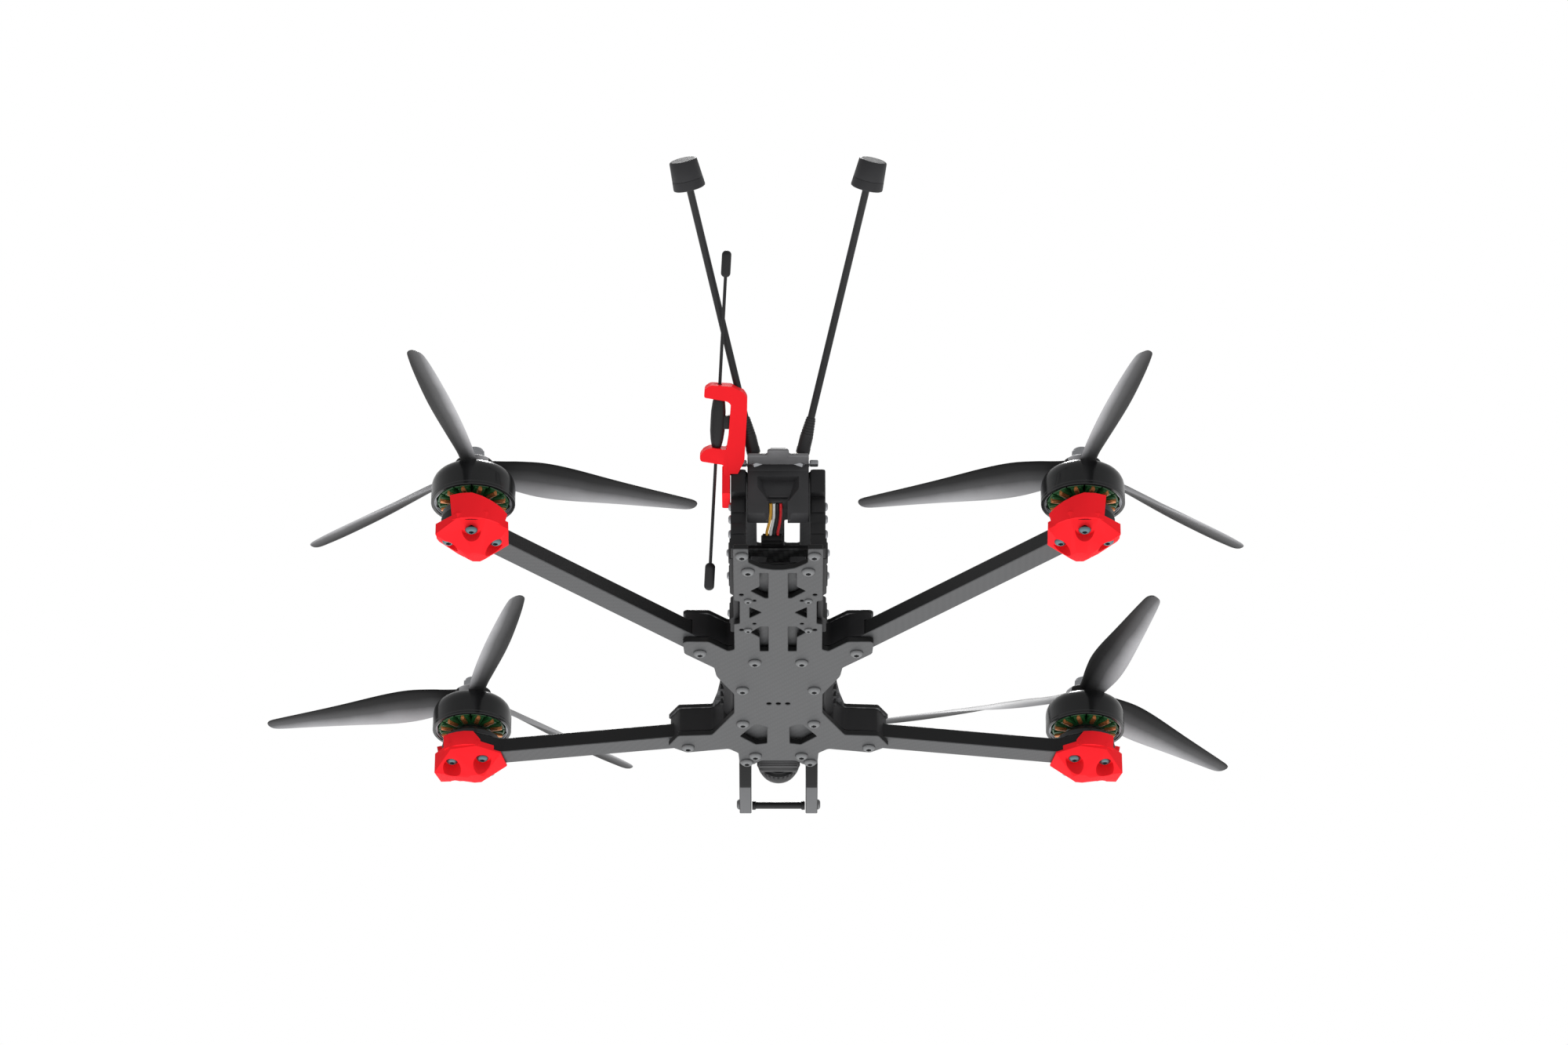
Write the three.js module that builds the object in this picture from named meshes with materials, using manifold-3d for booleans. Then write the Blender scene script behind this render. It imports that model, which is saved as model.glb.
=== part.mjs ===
// Long-range quadcopter: carbon frame, four motors with three-bladed propellers,
// a tilting nose camera, two video antennas and a receiver antenna.
// Millimetres, +Z up. +X is the drone's left, the nose points to -Y and Z = 0 is the ground.
// The shapes are drawn with X = 0 on the plane of symmetry and Y = 0 midway between the motors.
import * as THREE from 'three';
import { mergeVertices } from 'three/addons/utils/BufferGeometryUtils.js';
import Module from 'manifold-3d';

const wasm = await Module();
wasm.setup();

// ---- driving dimensions ----
const GAP = 0.3;                 // clearance left between touching parts
const PLATE_Z = 6.5;             // underside of the bottom plate above the ground
const PLATE_T = 2.5;
const PLATE_TOP = PLATE_Z + PLATE_T;
const ARM_T = 6.7;
const ARM_W = 10.5;
const ARM_Z = PLATE_TOP + GAP;
const ARM_TOP = ARM_Z + ARM_T;
const PAD_R = 12.8;              // round motor pad at the arm's tip
const MID_Z = 20.1;              // underside of the middle plate
const MID_T = 2.0;
const MID_TOP = MID_Z + MID_T;
const TOP_Z = 44.5;              // underside of the top plate
const TOP_T = 2.0;
const TOP_TOP = TOP_Z + TOP_T;
const HALF_W = 18.4;             // half the width of the tail part of the plates
const STACK = { y: -44.3, pitch: 30.5 };
const MOTORS = [
  { name: 'front_left', x: 134.1, y: -99.2, root: 116, toward: [39.1, -81.6], spin: 1, blade: 104.4 },
  { name: 'front_right', x: -134.1, y: -99.2, root: 116, toward: [-39.1, -81.6], spin: -1, blade: 105.9 },
  { name: 'rear_left', x: 124.3, y: 99.2, root: 148, toward: [32.9, 3.9], spin: -1, blade: 78 },
  { name: 'rear_right', x: -124.3, y: 99.2, root: 148, toward: [-32.9, 3.9], spin: 1, blade: 102.9 },
];
const SCREW_CIRCLE_R = 9.5;      // motor screws on a 19 mm circle
const BELL = { r: 17.15, wall: 1.9, z: 23.6, top: 36.0 };
const SHAFT_R = 2.45;
const PROP = { r: 95.25, hubR: 8.2, z0: 36.3, z1: 43.7, z: 40.0, bore: 2.6 };
const NOSE = { x0: 11.9, x1: 17.1 };
const CAMERA = { y: -112, z: 22, half: 9.4, lensR: 9.3, front: -130.5 };
const TAIL = { x: 12.6, y0: 83.5, y1: 92, z0: 23.5, z1: 46.5, lip: 98.4, tab: 102.2 };
const ANTENNA = { base: [10, 92.6, 51.6], tip: [38.6, 180, 138.2] };
const WHIP = { low: [28.6, 55, 8.2], high: [20.8, 156.5, 109.7] };

// ---- materials ----
const mat = (color, roughness, metalness) => new THREE.MeshStandardMaterial({ color, roughness, metalness });
const carbon = mat(0x2b2d2f, 0.5, 0.1);
const moulded = mat(0x17181a, 0.6, 0.0);
const redRubber = mat(0xff2b35, 0.6, 0.0);
const bellBlack = mat(0x0c0d0e, 0.25, 0.6);
const stator = mat(0x1f3a24, 0.5, 0.3);
const bladePlastic = mat(0x2c2e30, 0.35, 0.0);
const steel = mat(0xb8bcc0, 0.3, 0.9);
const board = mat(0x10241a, 0.5, 0.1);
const foam = mat(0x1a1a1a, 0.95, 0.0);
const glass = mat(0x0a0c12, 0.08, 0.0);
const leadColours = { yellow: 0xd8982a, white: 0xd6d8da, black: 0x101214, red: 0xb8101c };

// Drawn about the plane of symmetry, then moved so that the origin lies on the ground
// below the middle of the whole outline, propellers included.
const MIDDLE = { x: 12.5, y: 12.1 };
const quadcopter = new THREE.Group();

// ---- geometry helpers ----
function toSolid(geometry) {
  let bare = geometry.clone();
  for (const name of Object.keys(bare.attributes)) {
    if (name !== 'position') bare.deleteAttribute(name);
  }
  bare = mergeVertices(bare, 1e-4);
  const vertProperties = new Float32Array(bare.attributes.position.array);
  const triVerts = new Uint32Array(bare.index.array);
  return new wasm.Manifold(new wasm.Mesh({ numProp: 3, vertProperties, triVerts }));
}

function toGeometry(solid) {
  const mesh = solid.getMesh();
  const geometry = new THREE.BufferGeometry();
  geometry.setAttribute('position', new THREE.BufferAttribute(new Float32Array(mesh.vertProperties), 3));
  geometry.setIndex(new THREE.BufferAttribute(new Uint32Array(mesh.triVerts), 1));
  geometry.computeVertexNormals();
  return geometry;
}

function piece(name, shape, material) {
  const geometry = shape.isBufferGeometry ? shape : toGeometry(shape);
  const mesh = new THREE.Mesh(geometry.clone().translate(-MIDDLE.x, -MIDDLE.y, 0), material);
  mesh.name = name;
  quadcopter.add(mesh);
  return mesh;
}

// Anticlockwise outline with each corner rounded by the given radius, or less on short edges.
function roundedPath(corners, radius, PathType = THREE.Shape) {
  const path = new PathType();
  const outline = corners.map(([x, y]) => new THREE.Vector2(x, y));
  const points = THREE.ShapeUtils.area(outline) < 0 ? corners.slice().reverse() : corners;
  const count = points.length;
  points.forEach((corner, i) => {
    const here = new THREE.Vector2(...corner);
    const before = new THREE.Vector2(...points[(i + count - 1) % count]).sub(here);
    const after = new THREE.Vector2(...points[(i + 1) % count]).sub(here);
    const inset = Math.min(radius, before.length() * 0.45, after.length() * 0.45);
    const start = here.clone().addScaledVector(before.normalize(), inset);
    const end = here.clone().addScaledVector(after.normalize(), inset);
    if (i === 0) path.moveTo(start.x, start.y);
    else path.lineTo(start.x, start.y);
    path.quadraticCurveTo(here.x, here.y, end.x, end.y);
  });
  path.closePath();
  return path;
}

function circlePath(x, y, r) {
  const path = new THREE.Path();
  path.absarc(x, y, r, 0, 2 * Math.PI, true);
  return path;
}

// Flat plate: an outline with holes, between two heights.
function plate(outline, z0, z1, { radius = 1, holes = [], curveSegments = 2 } = {}) {
  const shape = roundedPath(outline, radius);
  shape.holes = holes;
  const geometry = new THREE.ExtrudeGeometry(shape, { depth: z1 - z0, bevelEnabled: false, curveSegments });
  return geometry.translate(0, 0, z0);
}

const mirrored = (half) => [...half, ...half.slice().reverse().map(([x, y]) => [-x, y])];
const flipX = (points) => points.map(([x, y]) => [-x, y]).reverse();
const bothSides = (points) => [points, flipX(points)];
const box = (x0, x1, y0, y1, z0, z1) => new THREE.BoxGeometry(x1 - x0, y1 - y0, z1 - z0)
  .translate((x0 + x1) / 2, (y0 + y1) / 2, (z0 + z1) / 2);

// Upright turned solid from (radius, height) points.
function turned(profile, segments = 24) {
  const points = profile.map(([r, z]) => new THREE.Vector2(r, z));
  return new THREE.LatheGeometry(points, segments).rotateX(Math.PI / 2);
}

// Round bar between two points.
function bar(from, to, r0, r1 = r0, sides = 12) {
  const a = new THREE.Vector3(...from);
  const b = new THREE.Vector3(...to);
  const axis = b.clone().sub(a);
  const geometry = new THREE.CylinderGeometry(r1, r0, axis.length(), sides);
  const turn = new THREE.Quaternion().setFromUnitVectors(new THREE.Vector3(0, 1, 0), axis.normalize());
  return geometry.applyQuaternion(turn).translate(...a.add(b).multiplyScalar(0.5).toArray());
}

// Closed skin over rings that each have the same number of points.
function loft(rings) {
  const sides = rings[0].length;
  const vertices = rings.flat(2);
  const faces = [];
  for (let i = 0; i + 1 < rings.length; i += 1) {
    for (let j = 0; j < sides; j += 1) {
      const a = i * sides + j;
      const b = i * sides + (j + 1) % sides;
      faces.push(a, b, b + sides, a, b + sides, a + sides);
    }
  }
  const last = (rings.length - 1) * sides;
  for (let j = 1; j + 1 < sides; j += 1) {
    faces.push(0, j + 1, j, last, last + j, last + j + 1);
  }
  const geometry = new THREE.BufferGeometry();
  geometry.setAttribute('position', new THREE.Float32BufferAttribute(vertices, 3));
  geometry.setIndex(faces);
  return geometry;
}

const union = (first, ...rest) => rest.reduce((sum, next) => sum.add(toSolid(next)), toSolid(first));
const cut = (solid, ...tools) => tools.reduce((left, tool) => left.subtract(toSolid(tool)), solid);
const flipped = (geometry) => {
  const copy = geometry.clone().scale(-1, 1, 1);
  const index = copy.index ? copy.index.array : null;
  if (index) {
    for (let i = 0; i < index.length; i += 3) [index[i], index[i + 1]] = [index[i + 1], index[i]];
    return copy;
  }
  const p = copy.attributes.position.array;
  for (let i = 0; i < p.length; i += 9) {
    for (let k = 0; k < 3; k += 1) [p[i + k], p[i + 3 + k]] = [p[i + 3 + k], p[i + k]];
  }
  return copy;
};

// ---- plates ----
const REAR_EAR = [[HALF_W, 6.6], [21.1, 5.2], [29.2, 13.4], [38.5, 13.6], [40.0, 12.4], [39.5, 3.0], [27.1, -9.6]];
const FRONT_EAR = [[28.6, -70.3], [43.2, -71.3], [47.8, -80.8], [39.8, -86.8], [21.6, -83.3]];
const WAIST = [[26.2, -17], [24.4, -21.3]];

function bottomPlate() {
  const half = [
    [2, 75.0], [7, 76.4], [12.2, 81.0], [12.2, 92.3], [HALF_W, 92.3], [HALF_W, 49], [16, 48.6], [16, 29.2],
    [HALF_W, 28.8], ...REAR_EAR, ...WAIST, [18.9, -33], [18.9, -50.3], ...FRONT_EAR,
    [17.4, -87.3], [16.9, -97.9], [10.6, -97.9], [7.6, -94.3],
  ];
  const windows = [
    [[7.6, 72.4], [4.1, 72.4], [4.1, 51.1], [5.5, 51.1], [11.4, 57.2], [7.6, 61]],
    [[11.9, 43.4], [6.8, 38.9], [11.9, 34.1]],
    [[7.4, 26.9], [4.1, 26.9], [4.1, 5.3], [7.7, 5.3], [7.8, 17.4], [11.5, 21.6]],
    [[10.2, -60.5], [7.8, -60.9], [4.8, -63], [4.9, -78.1], [9.7, -79.3], [16.6, -71.6]],
  ];
  const holes = windows.flatMap(bothSides).map((w) => roundedPath(w, 0.6, THREE.Path));
  for (const [x, y, r] of [[15.2, 54, 0.9], [9.8, 49, 0.8], [9.9, 29.2, 0.8], [15.3, 23.9, 0.9]]) {
    holes.push(circlePath(x, y, r), circlePath(-x, y, r));
  }
  for (const x of [-4, 0, 4]) holes.push(circlePath(x, -41.6, 1.1));
  return plate(mirrored(half), PLATE_Z, PLATE_TOP, { holes });
}

function middlePlate() {
  const half = [
    [14, 68.5], [HALF_W, 63], ...REAR_EAR, [26.2, -17], [24.6, -30], [24.6, -46], [26.4, -60], ...FRONT_EAR,
    [18, -84.5],
  ];
  const windows = [
    [[5, 62], [5, 52], [12, 52], [12, 62]],
    [[5, 46], [5, 22], [12, 22], [12, 46]],
  ];
  const holes = windows.flatMap(bothSides).map((w) => roundedPath(w, 1.5, THREE.Path));
  holes.push(roundedPath([[-7, 12], [-7, -10], [7, -10], [7, 12]], 2, THREE.Path));
  return plate(mirrored(half), MID_Z, MID_TOP, { holes });
}

function topPlate() {
  const half = [
    [10, 80], [12.9, 87], [HALF_W, 87], [HALF_W, 50], [16.2, 47], [16.2, 31], [HALF_W, 28], [HALF_W, -64],
    [17.1, -70], [17.1, -99], [9, -99], [7, -94],
  ];
  const windows = [
    [[2.6, 50], [2.6, 28], [9, 28], [9, 50]],
    [[5, -4], [5, -24], [11, -20], [11, -8]],
    [[5, -66], [5, -84], [10, -80], [10, -70]],
  ];
  const holes = windows.flatMap(bothSides).map((w) => roundedPath(w, 1.2, THREE.Path));
  for (const y of [20, 8, -34, -54]) {
    for (const x of [-13, 13]) {
      holes.push(roundedPath([[x - 1.4, y - 5], [x + 1.4, y - 5], [x + 1.4, y + 5], [x - 1.4, y + 5]], 1, THREE.Path));
    }
  }
  return plate(mirrored(half), TOP_Z, TOP_TOP, { holes });
}

piece('bottom_plate', bottomPlate(), carbon);
piece('middle_plate', middlePlate(), carbon);
piece('top_plate', topPlate(), carbon);

// ---- arms, their clamps, feet and motors ----
// Places a shape drawn with its motor at the origin and the arm running along -X.
function atMotor(geometry, motor) {
  const angle = Math.atan2(motor.y - motor.toward[1], motor.x - motor.toward[0]);
  return geometry.clone().rotateZ(angle).translate(motor.x, motor.y, 0);
}

function armShape(motor, grow = 0) {
  const w = ARM_W / 2 + grow;
  const pad = PAD_R + grow;
  const flare = 15;
  const outline = [[-motor.root - grow, w], [-motor.root - grow, -w], [-flare, -w]];
  const start = 140;
  for (let a = -start; a <= start; a += 28) {
    const t = THREE.MathUtils.degToRad(a);
    outline.push([pad * Math.cos(t), pad * Math.sin(t)]);
  }
  outline.push([-flare, w]);
  return plate(outline, ARM_Z - grow, ARM_TOP + grow, { radius: 0.4, curveSegments: 1 });
}

function armClamp(motor) {
  const rear = motor.y > 0;
  const outline = rear
    ? [[14, 6], [21.3, 5.6], [29.5, 12.9], [36.8, 15.6], [39.4, 14.6], [39.2, 3.4], [27, -9.2], [26, -16.6], [14, -16.6]]
    : [[14, -61.5], [23.8, -61.5], [28.4, -70.6], [42.8, -71.6], [47.2, -80.8], [39.8, -86.4], [21.6, -83],
      [18.2, -84.2], [14, -84.2]];
  const placed = motor.x > 0 ? outline : flipX(outline);
  const block = toSolid(plate(placed, ARM_Z, MID_Z - GAP, { radius: 1.5 }));
  return cut(block, atMotor(armShape(motor, GAP), motor));
}

function footShape() {
  const sides = 8;
  const ring = (r, heights) => Array.from({ length: sides }, (_, k) => {
    const a = ((k + 0.5) * 2 * Math.PI) / sides;
    return [r * Math.cos(a), r * Math.sin(a), heights[k]];
  });
  const rim = [5.4, 5.4, 6.6, 8.2, 8.2, 6.6, 5.4, 5.4];
  const top = [14.4, 14.4, 14.4, 12, 12, 14.4, 14.4, 14.4];
  const body = loft([ring(4.4, Array(sides).fill(0)), ring(15.9, rim), ring(15.9, top)]);
  const guard = [[13, 19.5], [29, 19.5], [45, 19.5], [60, 18.3], [75, 17.0], [90, 15.8], [106, 14.6]];
  const wall = loft(guard.map(([azimuth, height]) => {
    const a = THREE.MathUtils.degToRad(azimuth);
    const spot = (r, z) => [r * Math.cos(a), r * Math.sin(a), z];
    return [spot(13.2, 7.5), spot(13.2, height), spot(15.9, height), spot(15.9, 7.5)];
  }));
  const pocket = new THREE.CylinderGeometry(PAD_R + 2 * GAP, PAD_R + 2 * GAP, 30, 24).rotateX(Math.PI / 2)
    .translate(0, 0, ARM_Z - GAP + 15);
  const slot = box(-30, 0, -ARM_W / 2 - GAP, ARM_W / 2 + GAP, ARM_Z - GAP, 40);
  const flareSlot = box(-15 - GAP, 0, -8.6, 8.6, ARM_Z - GAP, 40);
  const tools = [pocket, slot, flareSlot];
  for (let k = 0; k < 4; k += 1) {
    const a = ((k + 0.5) * Math.PI) / 2;
    const [x, y] = [SCREW_CIRCLE_R * Math.cos(a), SCREW_CIRCLE_R * Math.sin(a)];
    tools.push(bar([x, y, -1], [x, y, 6.9], 3.7, 3.7, 10), bar([x, y, 6], [x, y, 12], 1.7, 1.7, 6));
  }
  return cut(union(body, wall), ...tools);
}

// The stator with its windings, on the motor's flanged base.
function motorBase() {
  const z = ARM_TOP + GAP;
  const profile = [
    [2.7, z], [12.6, z], [12.6, z + 3.0], [8.2, z + 4.0], [8.2, z + 5.8], [14.4, z + 5.8], [14.4, z + 13.8],
    [2.7, z + 15.2], [2.7, z],
  ];
  return turned(profile, 18);
}

function bell() {
  const { r, wall, z, top } = BELL;
  const inner = r - wall;
  const low = ARM_TOP + 2 * GAP;
  const profile = [
    [0, low], [SHAFT_R, low], [SHAFT_R, top - 2.4], [inner, top - 4.6], [inner, z], [r, z], [r, top - 5.2],
    [r - 0.9, top - 2.6], [r - 4.4, top - 0.5], [SHAFT_R, top], [SHAFT_R, PROP.z1 + 6], [0, PROP.z1 + 6],
  ];
  return turned(profile, 22);
}

// One blade along +X, with its leading edge towards +Y for a propeller turning anticlockwise.
function blade() {
  const stations = [
    { r: 5, chord: 8.5, pitch: 36, thick: 4.6 },
    { r: 18, chord: 13.0, pitch: 37, thick: 2.6 },
    { r: 30, chord: 15.4, pitch: 34, thick: 1.9 },
    { r: 46, chord: 14.6, pitch: 27, thick: 1.6 },
    { r: 66, chord: 11.8, pitch: 18, thick: 1.3 },
    { r: 84, chord: 8.9, pitch: 12, thick: 1.0 },
    { r: 92.5, chord: 6.4, pitch: 10, thick: 0.9 },
    { r: PROP.r, chord: 2.0, pitch: 9.5, thick: 0.6 },
  ];
  const section = [[-0.5, 0], [-0.2, -0.42], [0.3, -0.5], [0.5, 0], [0.25, 0.5], [-0.2, 0.42]];
  const rings = stations.map(({ r, chord, pitch, thick }) => {
    const a = THREE.MathUtils.degToRad(pitch);
    return section.map(([s, t]) => {
      const [along, up] = [s * chord, t * thick];
      return [r, along * Math.cos(a) - up * Math.sin(a), along * Math.sin(a) + up * Math.cos(a) + PROP.z];
    });
  });
  return loft(rings);
}

function propeller(motor) {
  const hub = bar([0, 0, PROP.z0], [0, 0, PROP.z1], PROP.hubR, PROP.hubR, 16);
  const blades = [0, 120, 240].map((turn) => {
    const one = blade();
    const handed = motor.spin > 0 ? one : flipped(one).rotateZ(Math.PI);
    return handed.rotateZ(THREE.MathUtils.degToRad(motor.blade + turn));
  });
  return cut(union(hub, ...blades), bar([0, 0, 30], [0, 0, 50], PROP.bore, PROP.bore, 12));
}

for (const motor of MOTORS) {
  const place = (shape) => toGeometry(shape).translate(motor.x, motor.y, 0);
  piece(`arm_${motor.name}`, atMotor(armShape(motor), motor), carbon);
  piece(`arm_clamp_${motor.name}`, armClamp(motor), moulded);
  const sameHand = motor.name === 'rear_left' || motor.name === 'front_right';
  const foot = toGeometry(footShape());
  const handedFoot = sameHand ? foot : flipped(foot).rotateZ(Math.PI);
  piece(`foot_${motor.name}`, atMotor(handedFoot, motor), redRubber);
  piece(`motor_stator_${motor.name}`, motorBase().translate(motor.x, motor.y, 0), stator);
  piece(`motor_bell_${motor.name}`, bell().translate(motor.x, motor.y, 0), bellBlack);
  piece(`propeller_${motor.name}`, place(propeller(motor)), bladePlastic);
}

// ---- sides of the body ----
// Guard in the waist between the two arms of one side, flaring outwards as it rises.
function sideGuard() {
  const profile = [[18.9, ARM_Z], [20.2, ARM_Z], [23.2, 12.5], [24.3, 16], [24.3, MID_Z - GAP], [18.9, MID_Z - GAP]];
  const shape = new THREE.Shape(profile.map(([x, z]) => new THREE.Vector2(x, z)));
  return new THREE.ExtrudeGeometry(shape, { depth: 43.6, bevelEnabled: false }).rotateX(Math.PI / 2)
    .translate(0, -17.2, 0);
}

// Rail along the tail, between the bottom and middle plates.
function sideRail() {
  const outline = [[16.3, 79.4], [20.0, 79.4], [20.0, 50], [18.6, 48.5], [18.6, 30], [20.0, 28.5], [20.0, 17], [16.3, 17]];
  return plate(outline, ARM_Z, MID_Z - GAP, { radius: 0.6 });
}

// Post at the tail corner that joins the bottom and top plates, with a thicker head.
function tailPost() {
  const lower = box(13.2, 19.4, 79.8, 88, PLATE_TOP + GAP, 34);
  const head = plate([[13.2, 79.8], [19.4, 79.8], [19.4, 92.4], [13.2, 92.4]], 33.5, TOP_Z - GAP, { radius: 1.2 });
  return union(lower, head);
}

for (const [side, sign] of [['left', 1], ['right', -1]]) {
  const put = (geometry) => (sign > 0 ? geometry : flipped(geometry));
  piece(`side_guard_${side}`, put(sideGuard()), moulded);
  piece(`side_rail_${side}`, put(sideRail()), moulded);
  piece(`tail_post_${side}`, put(toGeometry(tailPost())), moulded);
}

// ---- nose: two side plates, a crossbar and the tilting camera ----
function nosePlate() {
  const outline = [
    [86, PLATE_TOP + GAP], [98.2, PLATE_TOP + GAP], [98.2, PLATE_Z + 0.2], [109.6, 1.0], [134.2, 0.7], [134.8, 3.5],
    [132.6, 7.5], [127, 12], [124, 20], [124.6, 30], [119, 40], [106, TOP_Z - GAP], [86, TOP_Z - GAP],
  ];
  const shape = roundedPath(outline, 1.8);
  shape.holes = [
    roundedPath([[92, 34], [92, 15], [97, 14], [97, 34]], 1.5, THREE.Path),
    roundedPath([[104, 37], [104, 33.5], [116, 33.5], [114, 37]], 1.2, THREE.Path),
    roundedPath([[112, 9.5], [115, 5], [123, 5], [121, 9.5]], 1.2, THREE.Path),
  ];
  const geometry = new THREE.ExtrudeGeometry(shape, { depth: NOSE.x1 - NOSE.x0, bevelEnabled: false, curveSegments: 2 });
  // drawn as (forward, up), then turned so that forward is -Y and the thickness runs along X
  const turn = new THREE.Matrix4().makeBasis(
    new THREE.Vector3(0, -1, 0), new THREE.Vector3(0, 0, 1), new THREE.Vector3(-1, 0, 0));
  return geometry.applyMatrix4(turn).translate(NOSE.x1, 0, 0);
}

function cameraBody() {
  const { y, z, half } = CAMERA;
  const block = plate([[-half, y - 7.5], [half, y - 7.5], [half, y + 9.4], [-half, y + 9.4]], z - half, z + half,
    { radius: 2 });
  const pivots = bar([-11.6, y, z], [11.6, y, z], 2.6, 2.6, 16);
  return union(block, pivots);
}

function cameraLens() {
  const { y, lensR, front } = CAMERA;
  const reach = y - 7.5 - GAP - front;
  const profile = [
    [0, 0], [lensR, 0], [lensR, reach - 1.4], [lensR - 1.4, reach], [6.4, reach], [5.6, reach - 0.9],
    [2.8, reach + 0.2], [0, reach + 0.5],
  ];
  return turned(profile, 22).rotateX(Math.PI / 2).translate(0, y - 7.5 - GAP, CAMERA.z);
}

const noseLeft = cut(toSolid(nosePlate()), bar([8, CAMERA.y, CAMERA.z], [13.5, CAMERA.y, CAMERA.z], 2.75, 2.75, 16));
piece('camera_plate_left', noseLeft, carbon);
piece('camera_plate_right', flipped(toGeometry(noseLeft)), carbon);
piece('nose_crossbar', bar([-NOSE.x0 + GAP, -130, 2.95], [NOSE.x0 - GAP, -130, 2.95], 2.0, 2.0, 16), moulded);
piece('camera_body', cameraBody(), moulded);
piece('camera_lens', cameraLens(), glass);

// ---- tail: housing, antennas and the receiver aerial ----
function tailHousing() {
  const { x, y0, y1, z0, z1, lip, tab } = TAIL;
  const block = box(-x, x, y0, y1, z0, TOP_Z - GAP);
  const bridge = box(-x, x, 87 + GAP, y1, TOP_Z - 1, z1 + GAP);
  const cap = plate([[-x, 80], [x, 80], [x, lip], [4.6, lip], [4.2, tab], [-4.2, tab], [-4.6, lip], [-x, lip]],
    z1 + GAP, z1 + 2.1, { radius: 0.8 });
  const ring = (w, depth, z) => [[-w, depth, z], [w, depth, z], [w, y1 + 2, z], [-w, y1 + 2, z]];
  const recess = loft([ring(4.9, y1 - 6, z0 - 2), ring(5.2, y1 - 5.6, z0 + 5), ring(9.0, y1 - 0.2, z1 - 4)]);
  const mouth = box(-3.9, 3.9, y0 - 1, y1 + 1, z0 - 1, z0 + 7);
  const cavity = box(-x + 1.6, x - 1.6, y0 - 1, y0 + 1.6, z0 + 8.6, TOP_Z - 2);
  return cut(union(block, bridge, cap), recess, mouth, cavity);
}

const along = (from, to, t) => from.map((v, i) => v + (to[i] - v) * t);

function videoAntenna() {
  const { base, tip } = ANTENNA;
  const length = Math.hypot(...tip.map((v, i) => v - base[i]));
  const at = (mm) => along(base, tip, mm / length);
  return union(
    bar(at(0), at(8), 2.8, 2.7), bar(at(7.9), at(15.5), 2.7, 1.9), bar(at(15), at(length - 11), 1.5, 1.5, 8),
    bar(at(length - 12), at(length), 6.6, 5.6, 18));
}

// Threaded antenna socket, standing on the tail housing's cap.
function antennaSocket() {
  const { base, tip } = ANTENNA;
  const lower = along(base, tip, -0.08);
  const upper = along(base, tip, -0.003);
  const body = toSolid(bar(lower, upper, 3.1, 3.1, 12));
  const clear = box(0, 30, 60, 120, 20, TAIL.z1 + 2.1 + GAP);
  return cut(body, clear);
}

piece('tail_housing', tailHousing(), moulded);
const socket = toGeometry(antennaSocket());
const antenna = toGeometry(videoAntenna());
piece('antenna_socket_left', socket, steel);
piece('antenna_socket_right', flipped(socket), steel);
piece('video_antenna_left', antenna, moulded);
piece('video_antenna_right', flipped(antenna), moulded);

const whipAt = (t) => along(WHIP.low, WHIP.high, t);
function receiverAntenna(grow = 0) {
  const r = (value) => value + grow;
  const parts = [
    bar(whipAt(0), whipAt(0.082), r(2.1), r(2.1), 8), bar(whipAt(0.08), whipAt(0.925), r(0.7), r(0.7), 6),
    bar(whipAt(0.922), whipAt(1), r(1.9), r(1.9), 8),
    bar(whipAt(0.43), whipAt(0.505), r(2.2), r(2.6), 8), bar(whipAt(0.495), whipAt(0.575), r(2.6), r(2.2), 8),
  ];
  return union(...parts);
}

// Red holder: a flange on the tail post, a leaning spine and two arms that carry the aerial.
function receiverMount() {
  const spine = [
    [18.6, 6.5], [22.3, 6.5], [22.4, 12.9], [31.8, 14.4], [32.2, 16.6], [30.5, 18.9], [27.7, 20.1], [21.2, 19.2],
    [20.4, 24], [19.3, 38.4], [20.8, 39.7], [30.3, 41.3], [30.0, 44.9], [27.6, 46.5], [19.1, 46.0], [14, 43.4],
    [12.6, 41], [12.7, 35], [13.8, 14.6], [16.6, 9],
  ];
  const shape = roundedPath(spine, 0.8);
  const slab = new THREE.ExtrudeGeometry(shape, { depth: 6, bevelEnabled: false, curveSegments: 2 });
  // drawn as (x, along the spine), leaning back at 45 degrees
  const s = Math.SQRT1_2;
  const lean = new THREE.Matrix4().makeBasis(
    new THREE.Vector3(1, 0, 0), new THREE.Vector3(0, s, s), new THREE.Vector3(0, -s, s));
  slab.translate(0, 0, -2.6).applyMatrix4(lean).translate(0, 84.4, 37.2);
  const flange = plate([[19.7, 79.9], [23, 79.9], [23, 92.2], [19.7, 92.2]], 33, 46, { radius: 0.8 });
  const solid = union(slab, flange);
  const keepOut = [
    box(0, 19.4 + GAP, 70, 92.4 + GAP, 30, TOP_Z), box(-20, HALF_W + GAP, 60, 87 + GAP, TOP_Z - 1, TOP_TOP + 1),
    box(-20, TAIL.x + GAP, 70, TAIL.lip + GAP, TOP_Z - 1, TAIL.z1 + 2.4),
    bar(ANTENNA.base, along(ANTENNA.base, ANTENNA.tip, 0.14), 3.4), bar(ANTENNA.base, ANTENNA.tip, 2.0),
  ];
  return cut(solid, ...keepOut).subtract(receiverAntenna(GAP));
}

piece('receiver_antenna', receiverAntenna(), moulded);
piece('receiver_antenna_mount', receiverMount(), redRubber);

// ---- electronics ----
const halfPitch = STACK.pitch / 2;
const stackCorners = [[-1, -1], [1, -1], [1, 1], [-1, 1]].map(([a, b]) => [a * halfPitch, STACK.y + b * halfPitch]);

function circuitBoard(z, half) {
  const y = STACK.y;
  const holes = stackCorners.map(([px, py]) => circlePath(px, py, 2.0));
  return plate([[-half, y - half], [half, y - half], [half, y + half], [-half, y + half]], z, z + 1.6,
    { radius: 2, holes, curveSegments: 5 });
}

function stackPost([x, y]) {
  return bar([x, y, MID_TOP + GAP], [x, y, TOP_Z - GAP], 1.5, 1.5, 12);
}

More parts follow.
